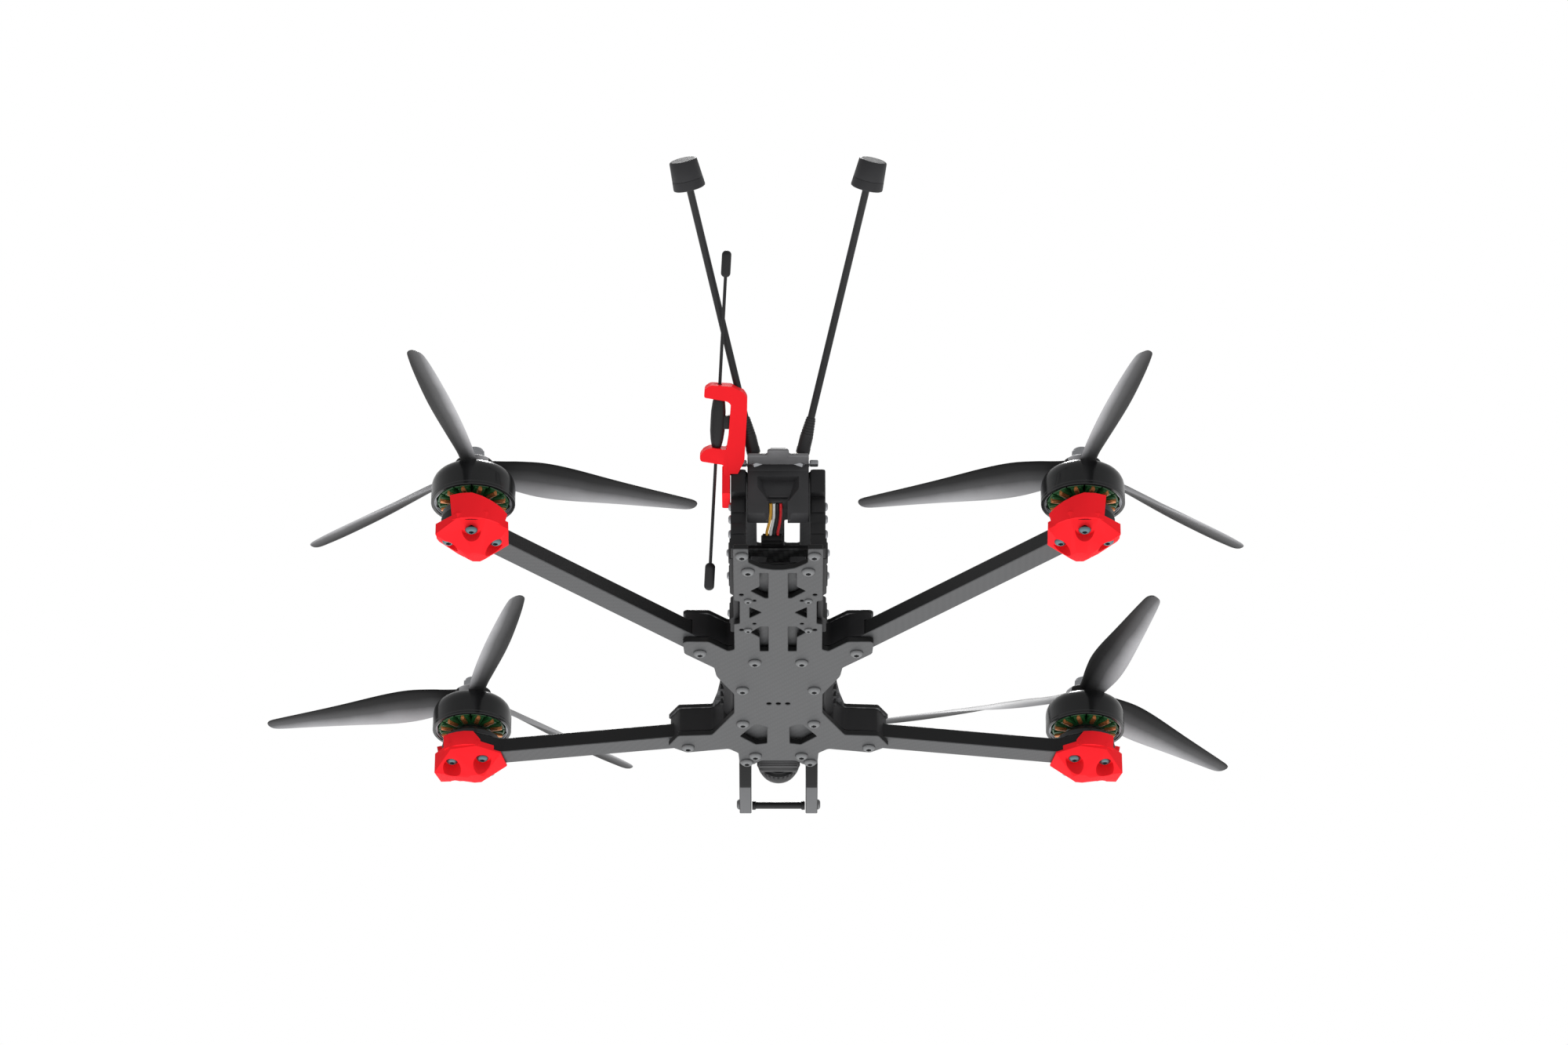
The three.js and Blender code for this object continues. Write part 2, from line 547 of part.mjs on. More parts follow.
const boardWithChips = (z, half, chip) => union(circuitBoard(z, half),
  box(-chip, chip, STACK.y - chip, STACK.y + chip, z + 1.5, z + 3.6));

piece('speed_controller', boardWithChips(26, 17.9, 9), board);
piece('flight_controller', boardWithChips(34, 17.9, 6), board);
stackCorners.forEach((corner, i) => piece(`stack_post_${i + 1}`, stackPost(corner), steel));
piece('video_transmitter', box(-15, 15, -12, 18, MID_TOP + GAP, MID_TOP + 8.5), steel);
piece('gps_module', box(-9.5, 9.5, 58, 77, TOP_TOP + GAP, TOP_TOP + 7), moulded);
piece('battery_pad', plate([[-15, -60], [15, -60], [15, 22], [-15, 22]], TOP_TOP + GAP, TOP_TOP + 2.8, { radius: 3 }), foam);

// ---- leads from the tail housing to the plug on the middle plate ----
const PLUG = { x: 2.4, y0: 68.9, y1: 74.6, z0: 20.4, z1: 24.6 };
piece('lead_plug', box(PLUG.x - 4.6, PLUG.x + 4.6, PLUG.y0, PLUG.y1, PLUG.z0, PLUG.z1), moulded);

function lead(start, end) {
  const route = new THREE.CatmullRomCurve3([
    new THREE.Vector3(start, TAIL.y0 + 3.5, TAIL.z0 + 5.4), new THREE.Vector3(start + 0.1, 82.0, 28.2),
    new THREE.Vector3((start + end) / 2, 78.6, 26.0), new THREE.Vector3(end, PLUG.y1 + 0.4, 23.2),
  ]);
  const section = new THREE.Shape();
  section.absarc(0, 0, 0.6, 0, 2 * Math.PI, false);
  return new THREE.ExtrudeGeometry(section, { steps: 7, extrudePath: route, bevelEnabled: false, curveSegments: 4 });
}

const leadRoutes = { yellow: [3.1, 4.6], white: [1.7, 3.1], black: [0.3, 1.6], red: [-1.1, 0.1] };
for (const [colour, [start, end]] of Object.entries(leadRoutes)) {
  piece(`lead_${colour}`, lead(start, end), mat(leadColours[colour], 0.5, 0.0));
}

export default quadcopter;
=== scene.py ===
import math

import bmesh
import bpy
from mathutils import Matrix, Vector


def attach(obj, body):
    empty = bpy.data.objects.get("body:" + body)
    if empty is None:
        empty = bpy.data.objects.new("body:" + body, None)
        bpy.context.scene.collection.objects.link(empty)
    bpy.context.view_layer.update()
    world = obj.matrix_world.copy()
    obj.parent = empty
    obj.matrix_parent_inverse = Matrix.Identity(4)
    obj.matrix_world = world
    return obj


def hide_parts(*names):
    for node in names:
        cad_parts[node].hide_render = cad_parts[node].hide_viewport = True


bl_info = {
    "name": "Long-range quadcopter looks",
    "version": (1, 0, 0),
    "blender": (4, 5, 0),
    "location": "View3D > Sidebar > Quadcopter",
    "description": "Builds the detailed pieces and finishes of a carbon quadcopter around its CAD frame",
    "category": "Object",
}

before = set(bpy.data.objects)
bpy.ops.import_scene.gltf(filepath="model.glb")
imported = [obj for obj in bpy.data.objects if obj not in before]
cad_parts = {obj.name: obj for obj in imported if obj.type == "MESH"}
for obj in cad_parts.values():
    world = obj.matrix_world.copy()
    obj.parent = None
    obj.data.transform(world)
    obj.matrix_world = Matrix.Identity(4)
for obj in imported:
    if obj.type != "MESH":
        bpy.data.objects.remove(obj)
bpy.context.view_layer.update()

MM = 0.001
MIDDLE = (-12.5, -12.1, 0.0)  # from the plane of symmetry and the motors' middle to the frame's origin
GAP = 0.3
BELLY_Z, BELLY_TOP = 6.5, 9.0
ARM_Z, ARM_TOP, ARM_W, PAD_R = 9.3, 16.0, 10.5, 12.8
MID_Z, MID_TOP = 20.1, 22.1
DECK_Z, DECK_TOP = 44.5, 46.5
STACK_Y, STACK_HALF = -44.3, 15.25
CAMERA_Y, CAMERA_Z = -112.0, 22.0
HALF_W = 18.4
SCREW_CIRCLE = 9.5
SCREW_SPOTS = [(SCREW_CIRCLE * math.cos(a), SCREW_CIRCLE * math.sin(a))  # four screws around a motor's axis
               for a in ((k + 0.5) * math.pi / 2 for k in range(4))]
EAR_FRONT, EAR_REAR = (39.1, -81.6), (32.9, 3.9)  # bolts through the ears, on the left
MOTORS = {  # axis, arm length, the bolt that the arm runs toward, way of turning, angle of the first blade
    "front_left": {"at": (134.1, -99.2), "root": 116, "toward": EAR_FRONT, "spin": 1, "blade": 104.4},
    "front_right": {"at": (-134.1, -99.2), "root": 116, "toward": (-EAR_FRONT[0], EAR_FRONT[1]), "spin": -1,
                    "blade": 105.9},
    "rear_left": {"at": (124.3, 99.2), "root": 148, "toward": EAR_REAR, "spin": -1, "blade": 78.0},
    "rear_right": {"at": (-124.3, 99.2), "root": 148, "toward": (-EAR_REAR[0], EAR_REAR[1]), "spin": 1,
                   "blade": 102.9},
}
ANTENNA_BASE, ANTENNA_TIP = (10.0, 92.6, 51.6), (38.6, 180.0, 138.2)
WHIP_LOW, WHIP_HIGH = Vector((28.6, 55.0, 8.2)), Vector((20.8, 156.5, 109.7))
SIDES = (("left", 1), ("right", -1))
UP, DOWN = (0, 0, 1), (0, 0, -1)
MIRROR_Y = Matrix.Scale(-1, 4, (0, 1, 0))


# ---- shapes ----
def turn_z(angle):
    return Matrix.Rotation(angle, 4, "Z")


def at(x, y, z):
    return Matrix.Translation((x, y, z))


def facing(point, direction):
    """Places a shape drawn along +Z at a point, turned to that direction."""
    return Matrix.Translation(point) @ Vector(direction).to_track_quat("Z", "Y").to_matrix().to_4x4()


def motor_heading(motor):
    """The way an arm points, from the frame out to its motor."""
    (x, y), (root_x, root_y) = motor["at"], motor["toward"]
    return math.atan2(y - root_y, x - root_x)


def motor_place(motor):
    """Places a shape drawn with its motor at the origin and the arm along -X."""
    return at(*motor["at"], 0) @ turn_z(motor_heading(motor))


def mirrored(half):
    """A whole outline from its left half."""
    return list(half) + [(-x, y) for x, y in reversed(half)]


def both_sides(points):
    """An outline and its mirror image."""
    return [list(points), [(-x, y) for x, y in reversed(points)]]


def pairs(points):
    """Each point and its mirror image."""
    return [(side * x, y) for x, y in points for side in (1, -1)]


def between(side, inner, outer):
    """Two distances from the plane of symmetry, on one side of it, the lower first."""
    return sorted((side * inner, side * outer))


def rectangle(x0, y0, x1, y1):
    return [(x0, y0), (x1, y0), (x1, y1), (x0, y1)]


def circle(x, y, r, steps=28):
    angles = [math.tau * i / steps for i in range(steps)]
    return [(x + r * math.cos(a), y + r * math.sin(a)) for a in angles]


def round_ring(r, z, steps):
    return [(x, y, z) for x, y in circle(0, 0, r, steps)]


def rounded(points, radius, steps=4):
    """The outline with every corner rounded, or rounded less where its edges are short."""
    path, count = [], len(points)
    for i, corner in enumerate(points):
        here = Vector(corner)
        before, after = Vector(points[i - 1]) - here, Vector(points[(i + 1) % count]) - here
        inset = min(radius, before.length * 0.45, after.length * 0.45)
        start, end = here + before.normalized() * inset, here + after.normalized() * inset
        for k in range(steps + 1):
            t = k / steps
            path.append(tuple(start * (1 - t) ** 2 + here * 2 * t * (1 - t) + end * t * t))
    return path


def smooth_path(points, steps):
    """Points along a smooth curve that runs through the given ones."""
    p = [Vector(q) for q in points]
    p = [p[0] * 2 - p[1]] + p + [p[-1] * 2 - p[-2]]
    path = []
    for a, b, c, d in zip(p, p[1:], p[2:], p[3:]):
        for k in range(steps):
            t = k / steps
            path.append((b * 2 + (c - a) * t + (a * 2 - b * 5 + c * 4 - d) * t * t
                         + (b * 3 - a - c * 3 + d) * t ** 3) / 2)
    return path + [p[-2]]


def evaluated_mesh(item):
    """A new mesh of an object with its modifiers or bevels applied."""
    return bpy.data.meshes.new_from_object(item.evaluated_get(bpy.context.evaluated_depsgraph_get()))


class Form:
    """Gathers the surfaces of one piece, in millimetres in the part's frame."""

    def __init__(self, bm=None):
        self.bm = bm or bmesh.new()

    def add(self, points, faces, place=None, finish=0):
        verts = [self.bm.verts.new(place @ Vector(p) if place else Vector(p)) for p in points]
        for corners in faces:
            if len(set(corners)) > 2:
                self.bm.faces.new([verts[i] for i in corners]).material_index = finish
        return self

    def rings(self, rings, place=None, finish=0, looped=False):
        """A skin over rings of points; a ring of one point closes the skin to a tip."""
        points, starts = [], []
        for ring in rings:
            starts.append(len(points))
            points += ring
        faces = []
        neighbours = list(zip(range(len(rings)), range(1, len(rings))))
        if looped:
            neighbours.append((len(rings) - 1, 0))
        for i, j in neighbours:
            a, b, n, m = starts[i], starts[j], len(rings[i]), len(rings[j])
            for k in range(max(n, m)):
                k2 = (k + 1) % max(n, m)
                if n == 1:
                    faces.append((a, b + k, b + k2))
                elif m == 1:
                    faces.append((a + k, a + k2, b))
                else:
                    faces.append((a + k, a + k2, b + k2, b + k))
        if not looped:
            for i in (0, len(rings) - 1):
                if len(rings[i]) > 2:
                    faces.append(tuple(range(starts[i], starts[i] + len(rings[i]))))
        return self.add(points, faces, place, finish)

    def lathe(self, profile, place=None, finish=0, steps=40, looped=False):
        """A turned shape from its outline as radii and heights; a radius of 0 is a tip."""
        rings = [round_ring(r, z, steps) if r else [(0, 0, z)] for r, z in profile]
        return self.rings(rings, place, finish, looped)

    def tube(self, path, radius, sides=12):
        """A round bar along a path."""
        path = [Vector(p) for p in path]
        heading = (path[1] - path[0]).normalized()
        side = heading.orthogonal().normalized()
        rings = []
        for i, point in enumerate(path):
            ahead = (path[min(i + 1, len(path) - 1)] - path[max(i - 1, 0)]).normalized()
            side = (heading.rotation_difference(ahead) @ side).normalized()
            heading = ahead
            other = heading.cross(side)
            rings.append([tuple(point + side * u + other * v) for u, v in circle(0, 0, radius, sides)])
        return self.rings(rings)

    def slab(self, outline, z0, z1, holes=(), edge=0.2, place=None, finish=0):
        """A plate with holes whose edges are broken by a small chamfer."""
        curve = bpy.data.curves.new("outline", "CURVE")
        curve.dimensions, curve.fill_mode = "2D", "BOTH"
        curve.extrude, curve.bevel_depth, curve.offset = (z1 - z0) / 2 - edge, edge, -edge
        curve.bevel_resolution = 0
        for loop in [outline, *holes]:
            spline = curve.splines.new("POLY")
            spline.points.add(len(loop) - 1)
            for point, (x, y) in zip(spline.points, loop):
                point.co = (x, y, 0, 1)
            spline.use_cyclic_u = True
        holder = bpy.data.objects.new("outline", curve)
        bpy.context.scene.collection.objects.link(holder)
        mesh = evaluated_mesh(holder)
        points = [v.co.copy() for v in mesh.vertices]
        faces = [tuple(p.vertices) for p in mesh.polygons]
        bpy.data.objects.remove(holder)
        bpy.data.curves.remove(curve)
        bpy.data.meshes.remove(mesh)
        lift = at(0, 0, (z0 + z1) / 2)
        return self.add(points, faces, place @ lift if place else lift, finish)

    def block(self, low, high, edge=0.3, place=None, finish=0):
        """A box with rounded edges between two corners."""
        box = bmesh.new()
        bmesh.ops.create_cube(box, size=1)
        for v in box.verts:
            v.co = [low[i] + (v.co[i] + 0.5) * (high[i] - low[i]) for i in range(3)]
        if edge:
            bmesh.ops.bevel(box, geom=box.edges[:], offset=edge, segments=2, profile=0.5, affect="EDGES")
        return self.add(*Form(box).parts(), place, finish)

    def refined(self, node, edge=0.35, angle=24):
        """The CAD node's own shape, with its edges rounded over."""
        copy = Form()
        copy.bm.from_mesh(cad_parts[node].data)
        bmesh.ops.scale(copy.bm, vec=(1 / MM,) * 3, verts=copy.bm.verts)
        bmesh.ops.translate(copy.bm, vec=[-m for m in MIDDLE], verts=copy.bm.verts)
        bmesh.ops.remove_doubles(copy.bm, verts=copy.bm.verts, dist=0.004)
        copy.flatten(1.5)
        return self.add(*copy.soften(edge, angle).parts())

    def flatten(self, angle):
        """Joins neighbouring faces that lie within an angle of one plane."""
        bmesh.ops.dissolve_limit(self.bm, angle_limit=math.radians(angle), verts=self.bm.verts,
                                 edges=self.bm.edges)
        return self

    def soften(self, edge, angle):
        """Rounds over the edges that are sharper than an angle."""
        sharp = [e for e in self.bm.edges
                 if len(e.link_faces) == 2 and e.calc_face_angle(0) > math.radians(angle)]
        bmesh.ops.bevel(self.bm, geom=sharp, offset=edge, segments=2, profile=0.6, affect="EDGES",
                        clamp_overlap=True)
        return self

    def parts(self):
        """Points and faces, to place the same shape more than once."""
        self.bm.verts.index_update()
        points = [v.co.copy() for v in self.bm.verts]
        faces = [tuple(v.index for v in f.verts) for f in self.bm.faces]
        self.bm.free()
        return points, faces

    def holder(self):
        """A plain object of the form, for a modifier to work on."""
        mesh = bpy.data.meshes.new("form")
        bmesh.ops.recalc_face_normals(self.bm, faces=self.bm.faces)
        self.bm.to_mesh(mesh)
        item = bpy.data.objects.new("form", mesh)
        bpy.context.scene.collection.objects.link(item)
        return item

    def carve(self, cutter, operation="DIFFERENCE"):
        """Cuts another form out of this one, or joins it on."""
        body, tool = self.holder(), cutter.holder()
        boolean = body.modifiers.new("carve", "BOOLEAN")
        boolean.object, boolean.operation, boolean.solver = tool, operation, "EXACT"
        bpy.context.view_layer.update()
        mesh = evaluated_mesh(body)
        self.bm.free()
        cutter.bm.free()
        self.bm = bmesh.new()
        self.bm.from_mesh(mesh)
        for item in (body, tool):
            bpy.data.objects.remove(item)
        bpy.data.meshes.remove(mesh)
        return self

    def piece(self, name, body, slot, finishes, stands_for=(), sharp=34):
        """The finished piece, riding its CAD body."""
        bmesh.ops.remove_doubles(self.bm, verts=self.bm.verts, dist=0.003)
        bmesh.ops.recalc_face_normals(self.bm, faces=self.bm.faces)
        bmesh.ops.translate(self.bm, vec=MIDDLE, verts=self.bm.verts)
        bmesh.ops.scale(self.bm, vec=(MM,) * 3, verts=self.bm.verts)
        mesh = bpy.data.meshes.new(name)
        self.bm.to_mesh(mesh)
        self.bm.free()
        mesh.shade_smooth()
        mesh.set_sharp_from_angle(angle=math.radians(sharp))
        for finish in finishes:
            mesh.materials.append(finish)
        made = bpy.data.objects.new(name, mesh)
        bpy.context.scene.collection.objects.link(made)
        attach(made, body)
        if stands_for:
            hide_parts(*stands_for)
        return made


# ---- finishes ----
class Value:
    """A value that varies over a surface. Arithmetic on it adds Math nodes."""

    def __init__(self, nodes, socket):
        self.nodes, self.socket = nodes, socket

    def math(self, operation, *values):
        """The operation on the values that are given; this one is used only if it is among them."""
        return self.nodes.node("ShaderNodeMath", {"operation": operation}, dict(enumerate(values)))

    def __add__(self, other):
        return self.math("ADD", self, other)

    def __radd__(self, other):
        return self.math("ADD", other, self)

    def __sub__(self, other):
        return self.math("SUBTRACT", self, other)

    def __rsub__(self, other):
        return self.math("SUBTRACT", other, self)

    def __mul__(self, other):
        return self.math("MULTIPLY", self, other)

    def __rmul__(self, other):
        return self.math("MULTIPLY", other, self)

    def __truediv__(self, other):
        return self.math("DIVIDE", self, other)

    def __mod__(self, other):
        return self.math("FLOORED_MODULO", self, other)

    def __lt__(self, other):
        return self.math("LESS_THAN", self, other)

    def __gt__(self, other):
        return self.math("GREATER_THAN", self, other)

    def floor(self):
        return self.math("FLOOR", self)

    def fract(self):
        return self.math("FRACT", self)

    def sin(self):
        return self.math("SINE", self)

    def abs(self):
        return self.math("ABSOLUTE", self)

    def clamp(self):
        return self.nodes.node("ShaderNodeClamp", {}, {"Value": self})


class Nodes:
    """The node tree of a material or of the surround."""

    def __init__(self, tree):
        self.tree = tree

    def node(self, kind, settings=None, inputs=None, out=0):
        """A node of that type: its settings first, then the values or links of its sockets."""
        made = self.tree.nodes.new(kind)
        for key, value in (settings or {}).items():
            if key == "stops":
                ramp = made.color_ramp
                while len(ramp.elements) < len(value):
                    ramp.elements.new(0.5)
                for element, (place, colour) in zip(ramp.elements, value):
                    element.position, element.color = place, (*colour, 1)
            else:
                setattr(made, key, value)
        for key, value in (inputs or {}).items():
            self.feed(made.inputs[key], value)
        return Value(self, made.outputs[out])

    def feed(self, socket, value):
        """Links a varying value to a socket, or sets a fixed one on it."""
        if isinstance(value, Value):
            self.tree.links.new(value.socket, socket)
        elif hasattr(value, "__len__") and len(value) == 3 and socket.type == "RGBA":
            socket.default_value = (*value, 1)
        else:
            socket.default_value = value

    def axes(self, vector):
        """The three parts of a vector."""
        split = self.node("ShaderNodeSeparateXYZ", {}, {"Vector": vector}).socket.node
        return [Value(self, split.outputs[i]) for i in range(3)]


class Finish(Nodes):
    """One material and the nodes that make it."""

    def __init__(self, name):
        self.material = bpy.data.materials.new(name)
        self.material.use_nodes = True
        super().__init__(self.material.node_tree)
        self.shader = next(n for n in self.tree.nodes if n.type == "BSDF_PRINCIPLED")

    def place(self, turn=0.0, stretch=(1, 1, 1)):
        """Position on the piece, in millimetres, turned about Z and stretched."""
        spot = self.node("ShaderNodeTexCoord", out="Object")
        return self.node("ShaderNodeMapping", {"vector_type": "POINT"}, {
            "Vector": spot, "Rotation": (0, 0, turn), "Scale": tuple(s / MM for s in stretch)})

    def noise(self, vector, scale, detail=3.0, roughness=0.5):
        return self.node("ShaderNodeTexNoise", {}, {
            "Vector": vector, "Scale": scale, "Detail": detail, "Roughness": roughness})

    def cells(self, vector, scale):
        """Distance to the nearest of scattered points."""
        return self.node("ShaderNodeTexVoronoi", {"feature": "F1"}, {"Vector": vector, "Scale": scale})

    def mix(self, amount, low, high):
        """From one colour to another."""
        return self.node("ShaderNodeMix", {"data_type": "RGBA"}, {0: amount, 6: low, 7: high}, 2)

    def ramp(self, amount, stops):
        return self.node("ShaderNodeValToRGB", {"stops": stops}, {"Fac": amount})

    def facing(self, axis):
        """How far the surface faces along an axis, either way: 1 straight along it and 0 across it."""
        geometry = self.node("ShaderNodeNewGeometry", out="Normal")
        return self.axes(geometry)["XYZ".index(axis)].abs()

    def bump(self, height, distance, strength=1.0):
        """Relief of so many millimetres."""
        relief = self.node("ShaderNodeBump", {}, {
            "Height": height, "Distance": distance * MM, "Strength": strength})
        self.feed(self.shader.inputs["Normal"], relief)

    def set(self, **sockets):
        """Feeds the shader's sockets by name."""
        for key, value in sockets.items():
            self.feed(self.shader.inputs[key.replace("_", " ")], value)
        return self


FINISHES = {}


def finish_once(make):
    """Keeps one material for each name that a finish is asked for."""
    def kept(name, *args, **kwargs):
        if name not in FINISHES:
            FINISHES[name] = make(Finish(name), *args, **kwargs).material
        return FINISHES[name]
    return kept


def shaded(colour, amount):
    """A colour made darker or paler."""
    return tuple(min(1, c * amount) for c in colour)


PLY, PRINT_LAYER, WIRE = 0.42, 0.24, 0.55  # how often plies, printed layers and wound wires repeat
BLADE_REFLECTION_TONES = [(0.0, 0.15), (0.3, 0.5), (0.58, 2.6), (0.9, 13.0)]  # painted reflection, in shares of the blade's colour, from the dark leading edge back to the pale trailing edge
# chord width over which the painted reflection runs
BLADE_REFLECTION_WIDTH = 14.0
THIRD = math.tau / 3


@finish_once
def woven_carbon(f, colour, turn=0.0, tow=1.0, level=1.0, contrast=0.09, sawn=0.22, upright=False, flat=0.0):
    """Twill carbon cloth under satin resin, with the plies showing on sawn edges.

    Sawn edges have the share `sawn` of the colour, and those that lie level take the last argument's share
    instead, if given: painted light on the level edges, standing for the bright light from below.
    """
    spot = f.place(turn)
    x, y, z = f.axes(spot)
    across, plane = (x, (y, z)) if upright else (z, (x, y))
    u, v = plane[0] / tow, plane[1] / tow
    over = ((u.floor() + v.floor()) % 4.0) < 1.5
    warp, weft = (u.fract() * math.pi).sin(), (v.fract() * math.pi).sin()
    cloth = over * warp + (1.0 - over) * weft
    strands, blotch = f.noise(spot, 2.2, 2.0), f.noise(spot, 0.045, 2.0)
    sheen = over * 0.45 + cloth * 0.3 + strands * 0.35
    plies = ((across / PLY).fract() > 0.5) * 0.6 + strands * 0.4
    faces = f.facing("X" if upright else "Z") > 0.6
    tones = [shaded(colour, level * k) for k in (1 - contrast, 1 + contrast)]
    rim = f.mix(plies.clamp(), shaded(colour, sawn * 0.8), shaded(colour, sawn * 1.25))
    # painted light: sawn edges that lie level are paled to stand for the bright light from below
    if flat:
        rim = f.mix(f.facing("Z") > 0.97, rim, shaded(colour, flat))
    f.set(Base_Color=f.mix(faces, rim, f.mix(sheen.clamp(), *tones)), Specular_IOR_Level=0.3, IOR=1.45,
          Roughness=(0.44 + blotch * 0.08 - cloth * 0.04 + (1.0 - faces) * 0.10),
          Coat_Weight=(faces * 0.10), Coat_Roughness=0.3)
    f.bump(faces * cloth * 0.6 + (1.0 - faces) * plies * 0.5, 0.03, 0.35)
    return f


@finish_once
def moulded(f, colour, roughness=0.5, grain=0.03):
    """Moulded plastic with a fine spark-eroded grain and slight handling marks."""
    spot = f.place()
    fine, marks = f.noise(spot, 5.0, 4.0, 0.6), f.noise(spot, 0.16, 3.0)
    f.set(Base_Color=f.mix(marks, shaded(colour, 0.82), shaded(colour, 1.25)),
          Roughness=(roughness - 0.06 + marks * 0.12 + fine * 0.05), Specular_IOR_Level=0.28)
    f.bump(fine, grain)
    return f


@finish_once
def printed_rubber(f, colour):
    """Flexible printed plastic: faint layer lines, matt, with painted shade slightly darkening the dips
    between layers.
    """
    spot = f.place()
    z = f.axes(spot)[2]
    layers = ((z / PRINT_LAYER).fract() * math.pi).sin()
    marks, fine = f.noise(spot, 0.2, 3.0), f.noise(spot, 3.0, 4.0)
    # painted shade: the dips between printed layers are slightly darker; the random marks are the plastic's
    # own tone
    f.set(Base_Color=f.mix(marks * 0.6 + layers * 0.12, shaded(colour, 0.92), shaded(colour, 1.04)),
          Roughness=(0.6 + marks * 0.14 - layers * 0.04), Specular_IOR_Level=0.08)
    f.bump(layers * 0.5 + fine * 0.5, 0.012)
    return f


@finish_once
def anodised(f, colour, roughness=0.2):
    """Turned and anodised aluminium, with the tool's fine rings."""
    turned = f.noise(f.place(0, (0.02, 0.02, 9)), 1.0, 2.0)
    marks = f.noise(f.place(), 0.3, 4.0)
    f.set(Base_Color=f.mix(marks, shaded(colour, 0.8), shaded(colour, 1.3)),
          Roughness=(roughness + turned * 0.10 + marks * 0.06), Metallic=0.2, Coat_Weight=0.35,
          Coat_Roughness=0.1, Specular_IOR_Level=0.35)
    f.bump(turned * 0.7 + marks * 0.3, 0.012)
    return f


@finish_once
def smoked_blade(f, colour, centre, angle, spin):
    """Smoky blade plastic with a painted reflection: dark along the leading edge and pale towards the
    trailing edge, where it mirrors the bright surround below.
    """
    spot = f.place()
    x, y, _ = f.axes(spot)
    dx, dy = x - (centre[0] + MIDDLE[0]), y - (centre[1] + MIDDLE[1])
    reach = dx.math("SQRT", dx * dx + dy * dy)
    turns = ((dy.math("ARCTAN2", dy, dx) - angle) / THIRD + 3.5).fract() - 0.5
    across = reach * (turns * THIRD).sin() * spin
    flow, fine = f.noise(spot, 0.07, 3.0), f.noise(spot, 2.6, 3.0)
    # painted reflection: how far the pale tone reaches, rising from the leading edge to the trailing edge
    painted_reflection = (0.5 - across / BLADE_REFLECTION_WIDTH + (flow - 0.5) * 0.12).clamp()
    f.set(Base_Color=f.ramp(painted_reflection, [(place, shaded(colour, k)) for place, k in BLADE_REFLECTION_TONES]),
          Roughness=(0.40 + flow * 0.12 + fine * 0.04), Specular_IOR_Level=0.16)
    f.bump(flow * 0.8 + fine * 0.1, 0.05, 0.5)
    return f


@finish_once
def bare_metal(f, colour, roughness=0.28, lines=3.0):
    """Plated metal with fine brushed lines and small pits."""
    spot = f.place()
    brushed = f.noise(f.place(0.4, (lines, 0.25, 0.25)), 1.0, 3.0)
    pits = f.noise(spot, 2.2, 4.0)
    f.set(Base_Color=f.mix(pits, shaded(colour, 0.72), colour),
          Roughness=(roughness + brushed * 0.14 + pits * 0.08), Metallic=0.92)
    f.bump(brushed * 0.5 + pits * 0.5, 0.01)
    return f


@finish_once
def copper_wire(f):
    """Enamelled wire wound side by side."""
    spot = f.place()
    z = f.axes(spot)[2]
    wires = ((z / WIRE).fract() * math.pi).sin()
    tint = f.noise(spot, 0.9, 2.0)
    f.set(Base_Color=f.mix(tint, (0.42, 0.115, 0.030), (0.78, 0.31, 0.10)),
          Roughness=(0.26 + wires * 0.1), Metallic=0.75, Coat_Weight=0.4, Coat_Roughness=0.1)
    f.bump(wires, 0.12)
    return f


@finish_once
def lacquer(f, colour, roughness=0.3):
    """Sprayed insulating lacquer with an orange-peel surface."""
    peel = f.noise(f.place(), 1.4, 3.0)
    f.set(Base_Color=f.mix(peel, shaded(colour, 0.6), shaded(colour, 1.5)),
          Roughness=(roughness + peel * 0.15), Coat_Weight=0.3)
    f.bump(peel, 0.04)
    return f


@finish_once
def circuit(f, colour):
    """Solder mask over copper tracks and pads."""
    spot = f.place()
    x, y, _ = f.axes(spot)
    lanes = ((x / 1.3).fract() > 0.72) + ((y / 2.1).fract() > 0.84)
    region = f.cells(spot, 0.18) > 0.55
    tracks = (lanes.clamp() * region).clamp()
    pads = f.cells(spot, 0.45) < 0.16
    base = f.mix(tracks, colour, shaded(colour, 2.4))
    f.set(Base_Color=f.mix(pads, base, (0.62, 0.44, 0.16)),
          Roughness=(0.32 + f.noise(spot, 1.1) * 0.12 - pads * 0.1), Metallic=(pads * 0.8), Coat_Weight=0.2)
    f.bump(tracks * 0.6 + pads * 0.6, 0.05)
    return f


@finish_once
def grip_foam(f):
    """Closed-cell grip foam: open pores and a dusty matt face."""
    spot = f.place()
    pores = f.cells(spot, 1.5)
    dust = f.noise(spot, 0.08, 4.0)
    f.set(Base_Color=f.mix(dust, (0.010, 0.010, 0.011), (0.035, 0.035, 0.036)),
          Roughness=(0.88 + dust * 0.08))
    f.bump(pores + dust * 0.3, 0.35)
    return f


@finish_once
def silicone(f, colour):
    """Soft silicone wire sheath with a little dust."""
    spot = f.place()
    dust, ripple = f.noise(spot, 0.5, 4.0), f.noise(spot, 1.6, 2.0)
    f.set(Base_Color=f.mix(dust, shaded(colour, 0.8), shaded(colour, 1.15)),
          Roughness=(0.38 + dust * 0.18), IOR=1.42)
    f.bump(ripple, 0.05)
    return f


@finish_once
def lens_glass(f):
    """Coated lens: near black, with a violet-green cast that varies over the dome."""
    spot = f.place()
    cast, smear = f.noise(spot, 0.25, 1.0), f.noise(spot, 1.1, 4.0)
    casts = [(0.3, (0.004, 0.006, 0.016)), (0.55, (0.010, 0.004, 0.018)), (0.7, (0.003, 0.014, 0.010))]
    f.set(Base_Color=f.ramp(cast, casts),
          Roughness=(0.03 + smear * 0.05), Coat_Weight=1.0, Coat_Roughness=0.02, IOR=1.6)
    f.bump(smear, 0.002)
    return f


# ---- sizes and colours that a user may change ----
def colour_of(name, text, default):
    return bpy.props.FloatVectorProperty(
        name=name, description=text, default=default, size=3, subtype="COLOR", min=0, max=1)


